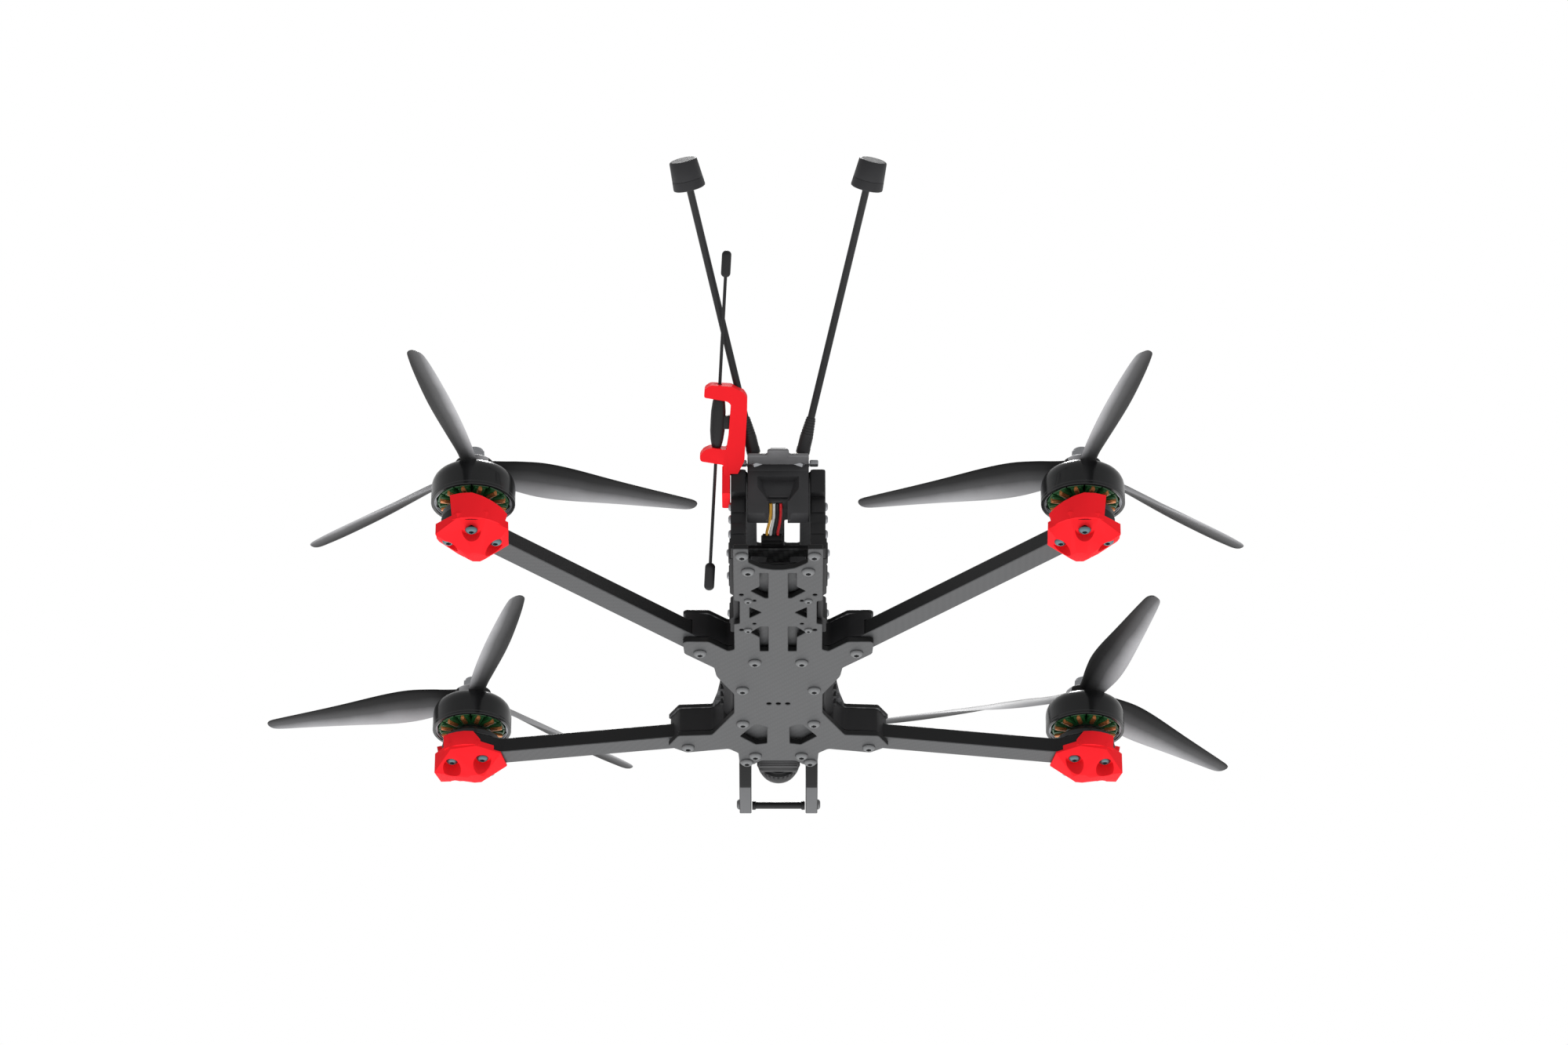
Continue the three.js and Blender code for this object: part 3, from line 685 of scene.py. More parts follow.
class QuadcopterLooks(bpy.types.PropertyGroup):
    """Colours of the quadcopter's finishes."""
    carbon: colour_of("Carbon", "Face colour of the woven carbon plates", (0.056, 0.057, 0.059))
    black: colour_of("Moulded black", "Colour of the moulded trim", (0.014, 0.014, 0.015))
    red: colour_of("Feet and holder", "Colour of the printed feet and aerial holder", (0.93, 0.016, 0.024))
    bell: colour_of("Motor bells", "Colour of the anodised motor bells", (0.008, 0.0085, 0.009))
    blade: colour_of("Blades", "Colour of the propeller plastic", (0.030, 0.030, 0.031))
    steel: colour_of("Fasteners", "Colour of the plated screws", (0.46, 0.47, 0.49))


class QuadcopterSizes(bpy.types.PropertyGroup):
    """Sizes of the quadcopter's small details."""
    plate_edge: bpy.props.FloatProperty(
        name="Plate edge", description="Chamfer on the sawn edges of the plates", default=0.25 * MM,
        min=0.05 * MM, max=0.6 * MM, subtype="DISTANCE", unit="LENGTH")
    tow: bpy.props.FloatProperty(
        name="Tow width", description="Width of one carbon tow in the weave", default=1.0 * MM,
        min=0.3 * MM, max=4 * MM, subtype="DISTANCE", unit="LENGTH")
    screw_head: bpy.props.FloatProperty(
        name="Screw head", description="Diameter of a button screw head", default=5.6 * MM,
        min=3 * MM, max=8 * MM, subtype="DISTANCE", unit="LENGTH")
    windings: bpy.props.IntProperty(
        name="Windings", description="Copper coils in each motor", default=12, min=6, max=24)
    magnets: bpy.props.IntProperty(
        name="Magnets", description="Magnets in each motor bell", default=14, min=8, max=28)


class QuadcopterStudio(bpy.types.PropertyGroup):
    """The floor, the camera and the lights."""
    floor: colour_of("Floor", "Colour of the floor", (0.86, 0.86, 0.87))
    floor_size: bpy.props.FloatProperty(
        name="Floor size", description="Width of the floor", default=9.0, min=1, max=50,
        subtype="DISTANCE", unit="LENGTH")
    camera_at: bpy.props.FloatVectorProperty(
        name="Camera position", description="Where the camera stands", size=3, subtype="TRANSLATION",
        unit="LENGTH", default=(-0.014908, 2.128786, -1.154785))
    camera_tilt: bpy.props.FloatProperty(
        name="Camera tilt", description="How far the camera is tipped up from looking straight down",
        default=math.radians(119.8133), subtype="ANGLE", unit="ROTATION")
    lens: bpy.props.FloatProperty(
        name="Lens", description="Focal length of the camera in millimetres", default=132.79, min=10, max=500)
    glow: bpy.props.FloatProperty(
        name="Surround", description="Brightness of the soft surround", default=1.0, min=0, max=10)


def looks():
    return bpy.context.scene.quadcopter_looks


def sizes():
    return bpy.context.scene.quadcopter_sizes


def carbon(name="woven_carbon", turn=0.0, **more):
    return woven_carbon(name, tuple(looks().carbon), turn, sizes().tow / MM, **more)


def black():
    return moulded("moulded_black", tuple(looks().black))


def steel():
    return bare_metal("plated_steel", tuple(looks().steel))


def dull_steel():
    return bare_metal("belly_steel", (0.24, 0.245, 0.25), 0.36)


def nylon():
    return moulded("nylon_blue", (0.02, 0.05, 0.16), 0.4)


def red_print():
    return printed_rubber("red_print", tuple(looks().red))


# ---- small parts ----
def hex_ring(flats, z, steps):
    """A hexagon's outline with as many points as a circle has."""
    points = []
    for i in range(steps):
        a = math.tau * i / steps
        r = flats / 2 / math.cos((a + math.pi / 6) % (math.pi / 3) - math.pi / 6)
        points.append((r * math.cos(a), r * math.sin(a), z))
    return points


BUTTON_WIDE = 5.6  # the head that the button screw is drawn as


def button_screw(form, point, direction, diameter, finish=0, steps=24):
    """Button head with a hexagon socket, its seat at the point."""
    k = diameter / BUTTON_WIDE
    rings = [round_ring(r * k, z * k, steps) for r, z in (
        (2.62, 0.0), (2.8, 0.18), (2.74, 0.5), (2.45, 0.95), (1.98, 1.32), (1.5, 1.52), (1.28, 1.56))]
    rings += [hex_ring(2.05 * k, z * k, steps) for z in (1.5, 0.45)] + [[(0, 0, 0.35 * k)]]
    return form.rings(rings, facing(point, direction), finish)


def lock_nut(form, point, flats, height, bore):
    """Flanged hexagon nut, its seat at the point, with a round locking collar in a second finish."""
    steps, place = 36, facing(point, UP)
    rings = [round_ring(flats * 0.62, 0, steps), round_ring(flats * 0.62, 0.7, steps),
             hex_ring(flats, 1.2, steps), hex_ring(flats, height * 0.72, steps),
             round_ring(flats * 0.47, height * 0.8, steps), round_ring(flats * 0.44, height, steps),
             round_ring(bore, height, steps), round_ring(bore, 0, steps)]
    form.rings(rings, place, 0, looped=True)
    collar = rectangle(bore * 0.98, height - 0.9, flats * 0.40, height + 0.05)
    return form.lathe(collar, place, 1, steps, looped=True)


# ---- plates ----
REAR_EAR = [(HALF_W, 6.6), (21.1, 5.2), (29.2, 13.4), (38.5, 13.6), (40.0, 12.4), (39.5, 3.0), (27.1, -9.6)]
FRONT_EAR = [(28.6, -70.3), (43.2, -71.3), (47.8, -80.8), (39.8, -86.8), (21.6, -83.3)]
WAIST = [(26.2, -17), (24.4, -21.3)]
BELLY_HALF = [(2, 75.0), (7, 76.4), (12.2, 81.0), (12.2, 92.3), (HALF_W, 92.3), (HALF_W, 49), (16, 48.6),
              (16, 29.2), (HALF_W, 28.8), *REAR_EAR, *WAIST, (18.9, -33), (18.9, -50.3), *FRONT_EAR,
              (17.4, -87.3), (16.9, -97.9), (10.6, -97.9), (7.6, -94.3)]
BELLY_WINDOWS = [
    [(7.6, 72.4), (4.1, 72.4), (4.1, 51.1), (5.5, 51.1), (11.4, 57.2), (7.6, 61)],
    [(11.9, 43.4), (6.8, 38.9), (11.9, 34.1)],
    [(7.4, 26.9), (4.1, 26.9), (4.1, 5.3), (7.7, 5.3), (7.8, 17.4), (11.5, 21.6)],
    [(10.2, -60.5), (7.8, -60.9), (4.8, -63), (4.9, -78.1), (9.7, -79.3), (16.6, -71.6)],
]
BELLY_HOLES = [(15.2, 54, 0.95), (9.8, 49, 0.8), (9.9, 29.2, 0.8), (15.3, 23.9, 0.95)]
BELLY_PINHOLES = [(-4, -41.6), (0, -41.6), (4, -41.6)]
BELLY_LINERS = ((13, 44, 74), (13, -3, 25), (17, -85.5, -57))  # half the width, then the two ends
BELLY_SCREWS = [(14.8, 86.9), (12.4, 74.0), (9.9, -4.4), EAR_REAR, (15.25, -29), (15.25, -59.6), EAR_FRONT,
                (10.0, -89.5), (13.7, -95.4)]
SMALL_SCREWS = [(12.5, 49.0), (12.6, 23.9)]
MID_HALF = [(14, 68.5), (HALF_W, 63), *REAR_EAR, (26.2, -17), (24.6, -30), (24.6, -46), (26.4, -60),
            *FRONT_EAR, (18, -84.5)]
MID_WINDOWS = [[(5, 62), (5, 52), (12, 52), (12, 62)], [(5, 46), (5, 22), (12, 22), (12, 46)]]
DECK_HALF = [(10, 80), (12.9, 87), (HALF_W, 87), (HALF_W, 50), (16.2, 47), (16.2, 31), (HALF_W, 28),
             (HALF_W, -64), (17.1, -70), (17.1, -99), (9, -99), (7, -94)]
DECK_WINDOWS = [
    [(2.6, 50), (2.6, 28), (9, 28), (9, 50)], [(5, -4), (5, -24), (11, -20), (11, -8)],
    [(5, -66), (5, -84), (10, -80), (10, -70)],
]
DECK_SCREWS = [(15.3, 83.4), (14.6, 56), (13.4, 34), (15.25, -29), (15.25, -59.6), (13.7, -92)]


def windows(shapes, radius):
    """Windows with rounded corners on both sides of a plate."""
    return [rounded(w, radius) for shape in shapes for w in both_sides(shape)]


def build_plates():
    edge = sizes().plate_edge / MM
    cloth = carbon()
    holes = windows(BELLY_WINDOWS, 0.6)
    for x, y, r in BELLY_HOLES:
        holes += [circle(x, y, r, 20), circle(-x, y, r, 20)]
    holes += [circle(x, y, 1.1, 20) for x, y in BELLY_PINHOLES]
    belly = Form().slab(rounded(mirrored(BELLY_HALF), 1), BELLY_Z, BELLY_TOP, holes, edge)
    for half, low, high in BELLY_LINERS:
        belly.block((-half, low, BELLY_TOP + 1), (half, high, BELLY_TOP + 1.8), 0.2)
        for side in (-1, 1):
            left, right = between(side, half - 0.9, half)
            belly.block((left, low + 1, BELLY_TOP - 0.1), (right, high - 1, BELLY_TOP + 1.1), 0)
    belly.piece("belly_plate", "frame", "carbon", [cloth], ["bottom_plate"])
    coarse = woven_carbon("coarse_carbon", tuple(looks().carbon), tow=2.1, level=1.5, contrast=0.8)
    holes = windows(MID_WINDOWS, 1.5) + [rounded([(-7, 12), (-7, -10), (7, -10), (7, 12)], 2)]
    Form().slab(rounded(mirrored(MID_HALF), 1), MID_Z, MID_TOP, holes, edge).piece(
        "waist_plate", "frame", "carbon", [coarse], ["middle_plate"])
    holes = windows(DECK_WINDOWS, 1.2)
    for y in (20, 8, -34, -54):
        for x in (-13, 13):
            holes.append(rounded(rectangle(x - 1.4, y - 5, x + 1.4, y + 5), 1.2))
    Form().slab(rounded(mirrored(DECK_HALF), 1), DECK_Z, DECK_TOP, holes, edge).piece(
        "deck_plate", "frame", "carbon", [cloth], ["top_plate"])


def build_plate_screws():
    size = sizes().screw_head / MM
    for name, spots, z, way, diameter, metal in (
            ("belly_screws", BELLY_SCREWS, BELLY_Z, DOWN, size, dull_steel()),
            ("small_belly_screws", SMALL_SCREWS, BELLY_Z, DOWN, 3.5, dull_steel()),
            ("deck_screws", DECK_SCREWS, DECK_TOP, UP, size, steel())):
        screws = Form()
        for x, y in pairs(spots):
            button_screw(screws, (x, y, z), way, diameter)
        screws.piece(name, "frame", "steel", [metal])
    nuts = Form()
    for x, y in pairs([EAR_REAR, EAR_FRONT]):
        lock_nut(nuts, (x, y, MID_TOP), 5.5, 3.6, 1.5)
    nuts.piece("ear_nuts", "frame", "steel", [steel(), nylon()])


# ---- arms ----
ARM_SCREW_AT = -25.0  # along the arm from the motor's axis


def arm_outline(root):
    """A bar of that length that ends in a round pad under the motor."""
    w = ARM_W / 2
    arc = [math.radians(a) for a in range(-140, 141, 8)]
    pad = [(PAD_R * math.cos(t), PAD_R * math.sin(t)) for t in arc]
    return [(-root, w), (-root, -w), (-15, -w), *pad, (-15, w)]


def build_arms():
    holes = [circle(x, y, 1.6, 16) for x, y in SCREW_SPOTS] + [circle(0, 0, 3.2, 24)]
    for name, motor in MOTORS.items():
        place = motor_place(motor)
        cloth = carbon(f"arm_carbon_{name}", -motor_heading(motor))
        Form().slab(arm_outline(motor["root"]), ARM_Z, ARM_TOP, holes, 0.3, place).piece(
            f"carbon_arm_{name}", "frame", "carbon", [cloth], [f"arm_{name}"])
        Form().refined(f"arm_clamp_{name}", 0.4).piece(
            f"arm_block_{name}", "frame", "moulded_black", [black()], [f"arm_clamp_{name}"])
        button_screw(Form(), place @ Vector((ARM_SCREW_AT, 0, ARM_TOP)), UP, 3.4).piece(
            f"arm_top_screw_{name}", "frame", "steel", [steel()])


# ---- feet ----
FOOT_SEAT, FOOT_FLOOR = 6.4, 9.0  # where the screw heads sit, and where the arm does
FOOT_RIMS = {  # reach and height of the eight corners where a boot's faces fold
    "rear": [(14.7, 9.4), (14.7, 9.4), (15.9, 8.8), (15.9, 8.2), (15.9, 8.2), (15.9, 8.6), (14.8, 9.3),
             (15.9, 6.0)],
    "front": [(15.9, 3.2), (15.9, 8.0), (15.9, 8.8), (15.9, 8.2), (15.9, 8.2), (15.4, 8.6), (15.2, 8.0),
              (15.9, 1.5)],
}
FOOT_REACH, FOOT_TOP = 15.9, [11, 12, 12, 11, 11, 11, 11, 10.8]
GUARD_TALL = 19.5
LONG_GUARD = (14.8, 16.9, [  # reach at the ground and at the tallest, then azimuths and heights
    (13, GUARD_TALL), (29, GUARD_TALL), (45, GUARD_TALL), (60, 18.3), (75, 17.0), (90, 15.8), (106, 14.6)])
SHORT_GUARD = (15.5, 15.9, [(-118, 11.6), (-106, 15.4), (-92, 15.6), (-79, 15.6), (-66, 15.6), (-53, 15.6)])
FOOT_GUARDS = {"rear": [LONG_GUARD], "front": [LONG_GUARD, SHORT_GUARD]}


def foot_parts(end):
    """Faceted boot over the arm's tip: a cut-off pyramid with four screw pockets and sloping guards."""
    def ring(corners, shift=0.0):
        angles = [(k + 0.5) * math.tau / 8 for k in range(8)]
        return [(r * math.cos(a) + shift, r * math.sin(a), h) for a, (r, h) in zip(angles, corners)]

    inner = PAD_R + 2 * GAP
    top = [(FOOT_REACH, height) for height in FOOT_TOP]
    body = Form().rings([ring([(3.9, 0)] * 8, -2.6), ring(FOOT_RIMS[end]), ring(top)])
    for low, high, guard in FOOT_GUARDS[end]:
        sections = []
        for azimuth, height in guard:
            c, s = math.cos(math.radians(azimuth)), math.sin(math.radians(azimuth))
            outer = low + (high - low) * height / GUARD_TALL
            outline = ((13.2, 9.2), (low, 9.2), (outer, height), (13.4, height))
            sections.append([(r * c, r * s, z) for r, z in outline])
        body.carve(Form().rings(sections), "UNION")
    body.carve(Form().lathe([(0, FOOT_FLOOR), (inner, FOOT_FLOOR), (inner, 40), (0, 40)], None, 0, 64))
    body.carve(Form().block((-30, -ARM_W / 2 - GAP, FOOT_FLOOR), (0, ARM_W / 2 + GAP, 40.1), 0))
    body.carve(Form().block((-15.3, -8.6, FOOT_FLOOR), (0, 8.6, 40.2), 0))
    pocket = [(0, -1), (3.9, -1), (3.9, FOOT_SEAT), (1.7, FOOT_SEAT), (1.7, 12), (0, 12)]
    for x, y in SCREW_SPOTS:
        body.carve(Form().lathe(pocket, at(x, y, 0), 0, 40))
    bmesh.ops.remove_doubles(body.bm, verts=body.bm.verts, dist=0.01)
    return body.flatten(1).soften(0.35, 20).parts()


def build_feet():
    teal = bare_metal("screw_teal", (0.16, 0.24, 0.26), 0.3)
    boots = {end: foot_parts(end) for end in FOOT_RIMS}
    for name, motor in MOTORS.items():
        place = motor_place(motor)
        if name not in ("rear_left", "front_right"):
            place = place @ MIRROR_Y
        boot = Form().add(*boots[name.split("_")[0]], place)
        boot.piece(f"red_foot_{name}", "frame", "red_rubber", [red_print()], [f"foot_{name}"], 26)
        screws = Form()
        for x, y in SCREW_SPOTS:
            button_screw(screws, place @ Vector((x, y, FOOT_SEAT)), DOWN, 5.2)
        screws.piece(f"foot_screws_{name}", "frame", "steel", [teal])


# ---- motors ----
STATOR_CORE = [  # radii, and heights above the arm
    (2.7, 0), (12.3, 0), (12.6, 0.3), (12.6, 2.2), (12.0, 3.0), (9.0, 3.2), (8.2, 4.2), (8.2, 5.6),
    (6.4, 6.4), (6.4, 14.6), (2.7, 15.2),
]
STATOR_TIP = [(12.9, -3.1), (14.2, -3.5), (14.4, 0), (14.2, 3.5), (12.9, 3.1)]


def build_stators():
    green = lacquer("green_lacquer", (0.012, 0.085, 0.022))
    dark = anodised("motor_base_black", (0.014, 0.015, 0.016), 0.3)
    copper = copper_wire("copper_wire")
    count = sizes().windings
    base = ARM_TOP + GAP
    for name, motor in MOTORS.items():
        form, centre = Form(), at(*motor["at"], 0)
        form.lathe([(r, base + z) for r, z in STATOR_CORE], centre, 0, 48, looped=True)
        for k in range(count):
            spoke = centre @ turn_z(math.tau * (k + 0.5) / count)
            form.block((5.8, -2.3, base + 7.2), (13.6, 2.3, base + 13.6), 0.4, spoke, 1)
            form.block((8.4, -0.95, base + 6.2), (13.7, 0.95, base + 14.2), 0.6, spoke, 2)
            form.slab(STATOR_TIP, base + 8.0, base + 13.8, (), 0.15, spoke, 1)
        form.piece(f"stator_{name}", "frame", "motor_stator", [dark, green, copper], [f"motor_stator_{name}"])


BELL_OUTSIDE = [  # radii and heights, from the lower lip over the dome to the shaft
    (16.55, 23.6), (16.95, 23.62), (17.15, 23.85), (17.15, 24.5), (17.02, 24.65), (17.02, 25.0),
    (17.15, 25.15), (17.15, 30.4), (17.05, 31.8), (16.75, 33.2), (16.15, 34.6), (15.2, 35.8),
    (13.9, 36.8), (12.3, 37.6), (10.6, 38.2), (9.0, 38.7), (8.3, 39.0), (2.45, 39.0),
]
BELL_INSIDE = [(2.45, 33.4), (8.0, 33.4), (14.6, 32.0), (15.9, 30.4), (15.9, 23.6)]
VENTS = 6
VENT = [  # radii and azimuths of one vent's corners
    (9.6, -15), (9.6, -6), (9.6, 6), (9.6, 15), (12.6, 18), (12.6, 7), (12.6, -7), (12.6, -18)]


def build_bells():
    shell = anodised("bell_black", tuple(looks().bell), 0.16)
    ring_metal = bare_metal("flux_ring", (0.34, 0.35, 0.37), 0.3)
    magnet = bare_metal("magnet_nickel", (0.30, 0.30, 0.31), 0.25)
    count = sizes().magnets
    low = ARM_TOP + 2 * GAP
    vent = [(r * math.cos(math.radians(a)), r * math.sin(math.radians(a))) for r, a in VENT]
    for name, motor in MOTORS.items():
        centre = at(*motor["at"], 0)
        form = Form().lathe(BELL_OUTSIDE + BELL_INSIDE, centre, 0, 72, looped=True)
        cuts = Form()
        for k in range(VENTS):
            cuts.slab(rounded(vent, 0.8, 3), 28, 40, (), 0.01, centre @ turn_z(math.tau * k / VENTS))
        form.carve(cuts)
        form.lathe([(15.3, 24.1), (15.95, 24.1), (15.95, 31.0), (15.3, 31.0)], centre, 1, 56, looped=True)
        for k in range(count):
            turned = centre @ turn_z(math.tau * k / count)
            form.block((14.75, -2.9, 24.5), (15.45, 2.9, 30.8), 0.15, turned, 2)
        shaft = [(0, low), (2.2, low), (2.45, low + 0.3), (2.45, 36.2), (2.45, 48.6), (2.1, 49.4), (0, 49.5)]
        form.lathe(shaft, centre, 3, 28)
        form.piece(f"bell_{name}", f"rotor_{name}", "motor_bell", [shell, ring_metal, magnet, steel()],
                   [f"motor_bell_{name}"])


# ---- propellers ----
BLADE = [  # distance out, chord, pitch in degrees, thickness, sweep
    (3.0, 9.5, 34, 5.6, 0.0), (7.5, 10.2, 36, 4.8, 0.0), (12, 11.4, 37, 3.4, 0.1),
    (18, 13.2, 37, 2.5, 0.2), (28, 15.3, 36, 1.95, 0.2), (40, 15.1, 31.5, 1.7, 0.1),
    (60, 12.3, 20.7, 1.35, 0.0), (80, 9.3, 12.4, 1.05, 0.0), (89, 7.6, 10.2, 0.95, 0.0),
    (92.6, 6.4, 9.6, 0.85, 0.1), (94.4, 4.4, 9.5, 0.7, 0.3), (95.2, 1.6, 9.5, 0.4, 0.5),
]
BLADE_SECTION = [  # along the chord as a share of it, and up as a share of the thickness
    (-0.5, 0.02), (-0.44, -0.06), (-0.25, -0.22), (0.0, -0.36), (0.22, -0.40), (0.38, -0.32), (0.47, -0.16),
    (0.5, 0.04), (0.47, 0.26), (0.36, 0.50), (0.18, 0.60), (-0.05, 0.54), (-0.28, 0.32), (-0.45, 0.10),
]
CAMBER, BLADE_Z, BLADES = 0.075, 40.0, 3


def blade_rings():
    """Sections of one anticlockwise blade along +X, its leading edge raised towards +Y."""
    path = smooth_path([(s[0], s[1], s[3]) for s in BLADE], 4)
    turns = smooth_path([(s[0], s[2], s[4]) for s in BLADE], 4)
    rings = []
    for (r, chord, thick), (_, pitch, sweep) in zip(path, turns):
        c, n = math.cos(math.radians(pitch)), math.sin(math.radians(pitch))
        ring = []
        for s, t in BLADE_SECTION:
            arch = CAMBER * chord * (1 - (2 * s) ** 2)
            along, up = s * chord + sweep, t * thick + arch * min(1, r / 25)
            ring.append((r, along * c - up * n, along * n + up * c + BLADE_Z))
        rings.append(ring)
    return rings


def build_propellers():
    rings, smoke = blade_rings(), tuple(looks().blade)
    for name, motor in MOTORS.items():
        form, centre = Form(), at(*motor["at"], 0)
        first = math.radians(motor["blade"])
        plastic = smoked_blade(f"smoked_blade_{name}", smoke, motor["at"], first, motor["spin"])
        form.lathe([(2.6, 36.3), (7.4, 36.3), (8.0, 36.6), (8.2, 37.2), (8.2, 41.6), (7.9, 42.6), (7.1, 43.3),
                    (5.6, 43.7), (4.4, 43.7), (4.1, 43.4), (2.6, 43.4)], centre, 0, 48, looped=True)
        for k in range(BLADES):
            place = centre @ turn_z(first + math.tau * k / BLADES)
            form.rings(rings, place if motor["spin"] > 0 else place @ MIRROR_Y)
        form.piece(f"prop_{name}", f"rotor_{name}", "propeller", [plastic], [f"propeller_{name}"], 50)
        nut = lock_nut(Form(), (*motor["at"], 43.7), 8.0, 5.2, 2.5)
        nut.piece(f"prop_nut_{name}", f"rotor_{name}", "steel", [steel(), nylon()])


# ---- sides of the body ----
GUARD_RIBS = 6
RAIL_BOSSES = (24.0, 56.0, 75.0)


def build_side_trim():
    for side, sign in SIDES:
        guard = Form().refined(f"side_guard_{side}", 0.5)
        low, high = between(sign, 22.6, 24.9)
        for k in range(GUARD_RIBS):
            y = -22 - 6.6 * k
            guard.block((low, y - 1.1, 13.2), (high, y + 1.1, 19.4), 0.3)
        guard.piece(f"waist_guard_{side}", "frame", "moulded_black", [black()], [f"side_guard_{side}"])
        rail = Form().refined(f"side_rail_{side}", 0.35)
        low, high = between(sign, 18.0, 20.4)
        for y in RAIL_BOSSES:
            rail.block((low, y - 2.2, 10.6), (high, y + 2.2, 18.6), 0.4)
        rail.piece(f"tail_rail_{side}", "frame", "moulded_black", [black()], [f"side_rail_{side}"])
        post = Form().refined(f"tail_post_{side}", 0.5)
        low, high = between(sign, 13.4, 19.2)
        post.block((low, 87.2, 26.0), (high, 89.0, 32.4), 0.5)
        post.block((low, 87.2, 16.0), (high, 88.6, 21.0), 0.5)
        post.piece(f"corner_post_{side}", "frame", "moulded_black", [black()], [f"tail_post_{side}"])
        screws = Form()
        for z in (31, 25, 18):
            button_screw(screws, (sign * 19.4, 84.4, z), (sign, 0, 0), 3.6)
        for y in RAIL_BOSSES:
            button_screw(screws, (sign * 20.3, y, 14.6), (sign, 0, 0), 3.2)
        screws.block((sign * 14.7 - 1.8, 90.6, 46.2), (sign * 14.7 + 1.8, 93.2, 48.4), 0.5)
        screws.piece(f"post_screws_{side}", "frame", "steel", [steel()])


# ---- nose ----
NOSE_OUTLINE = [(86, 9.3), (98.2, 9.3), (98.2, 6.7), (109.6, 1.0), (134.2, 0.7), (134.8, 3.5),
                (132.6, 7.5), (127, 12), (124, 20), (124.6, 30), (119, 40), (106, 44.2), (86, 44.2)]
NOSE_HOLES = [([(92, 34), (92, 15), (97, 14), (97, 34)], 1.5),
              ([(104, 37), (104, 33.5), (116, 33.5), (114, 37)], 1.2),
              ([(112, 9.5), (115, 5), (123, 5), (121, 9.5)], 1.2)]
FORK_INNER, FORK_OUTER = 11.9, 17.1
NOSE_TIP_Y = -130
ON_EDGE = Matrix(((0, 0, -1, 0), (-1, 0, 0, 0), (0, 1, 0, 0), (0, 0, 0, 1)))  # stands an outline ahead and up


def build_nose():
    # painted shade and light: the nose's sloping sawn edges are darkened and its level edges paled, for the
    # dim light behind and the bright light below
    cloth = carbon("nose_carbon", sawn=0.18, level=0.4, upright=True, flat=1.8)
    holes = [rounded(h, r) for h, r in NOSE_HOLES]
    for side, sign in SIDES:
        left = max(between(sign, FORK_INNER, FORK_OUTER))
        place = at(left, 0, 0) @ ON_EDGE
        Form().slab(rounded(NOSE_OUTLINE, 1.8), 0, FORK_OUTER - FORK_INNER, holes, 0.3, place).piece(
            f"nose_fork_{side}", "frame", "carbon", [cloth], [f"camera_plate_{side}"])
        screws = Form()
        button_screw(screws, (sign * FORK_OUTER, NOSE_TIP_Y, 3.4), (sign, 0, 0), 4.6)
        button_screw(screws, (sign * FORK_OUTER, CAMERA_Y, CAMERA_Z), (sign, 0, 0), 4.4)
        screws.piece(f"nose_screws_{side}", "frame", "steel", [dull_steel()])
    profile = [(0, -11.6), (2.0, -11.6), (2.0, -10.2), (1.55, -9.9),
               (1.55, 9.9), (2.0, 10.2), (2.0, 11.6), (0, 11.6)]
    bar = Form().lathe(profile, facing((0, NOSE_TIP_Y, 2.95), (1, 0, 0)), 0, 28)
    bar.piece("fork_bar", "frame", "moulded_black", [moulded("bar_black", (0.016, 0.016, 0.017), 0.35, 0.01)],
              ["nose_crossbar"])


LENS_RIBS = 28


def build_camera():
    y, z = CAMERA_Y, CAMERA_Z
    body = Form()
    body.block((-9.4, y - 2.0, z - 9.4), (9.4, y + 9.4, z + 9.4), 1.2)
    body.block((-8.6, y - 7.5, z - 8.6), (8.6, y - 1.6, z + 8.6), 1.4)
    body.block((-7.2, y + 9.0, z - 7.2), (7.2, y + 10.4, z + 7.2), 0.6)
    for k in range(4):
        body.block((-8.2, y + 1.0 + 2.0 * k, z - 9.6), (8.2, y + 1.8 + 2.0 * k, z + 9.6), 0.25)
    body.lathe([(0, -11.6), (2.3, -11.6), (2.6, -11.3), (2.6, 11.3), (2.3, 11.6), (0, 11.6)],
               facing((0, y, z), (1, 0, 0)), 0, 28)
    for x, dz in ((-7.2, -7.2), (7.2, -7.2), (-7.2, 7.2), (7.2, 7.2)):
        button_screw(body, (x, y - 7.4, z + dz), (0, -1, 0), 1.8, 1, 18)
    body.block((-3.4, y + 10.0, z - 3.2), (3.4, y + 11.4, z + 1.4), 0.3, None, 2)
    shell = moulded("camera_black", (0.020, 0.020, 0.021), 0.42, 0.02)
    ivory = moulded("socket_ivory", (0.55, 0.52, 0.42))
    body.piece("camera_shell", "camera", "moulded_black", [shell, steel(), ivory], ["camera_body"])
    lens, forward = Form(), facing((0, y - 7.6, z), (0, -1, 0))
    bezel = [(6.0, 0), (8.4, 0.0), (8.4, 1.6), (9.3, 2.2), (9.3, 6.4), (9.1, 7.6), (8.3, 10.2), (7.7, 10.6),
             (7.1, 10.6), (6.6, 9.6), (6.2, 8.2), (6.0, 6.4)]
    lens.lathe(bezel, forward, 0, 56, looped=True)
    for k in range(LENS_RIBS):
        lens.block((9.0, -0.5, 2.8), (9.45, 0.5, 5.8), 0.12, forward @ turn_z(math.tau * k / LENS_RIBS))
    lens.lathe([(6.1, 6.2), (6.1, 8.0), (5.2, 9.1), (3.8, 10.0), (2.0, 10.5), (0, 10.7)], forward, 1, 48)
    rim = moulded("bezel_black", (0.011, 0.011, 0.012), 0.45, 0.02)
    lens.piece("camera_eye", "camera", "lens_glass", [rim, lens_glass("lens_glass")], ["camera_lens"])


# ---- tail ----
# the housing's half width, its ends and heights, then its hollow at the back and the hollow's floor
TAIL = {"half": 12.6, "front": 83.5, "back": 92.0, "low": 23.5, "high": 44.2, "cap": 46.8}
TAIL_MOUTH = [(9.0, 41.2), (-9.0, 41.2), (-9.0, 35.6), (-4.4, 29.0), (4.4, 29.0), (9.0, 35.6)]
TAIL_FLOOR = [(6.4, 40.6), (-6.4, 40.6), (-6.1, 38.5), (-4.2, 31.8), (4.2, 31.8), (6.1, 38.5)]


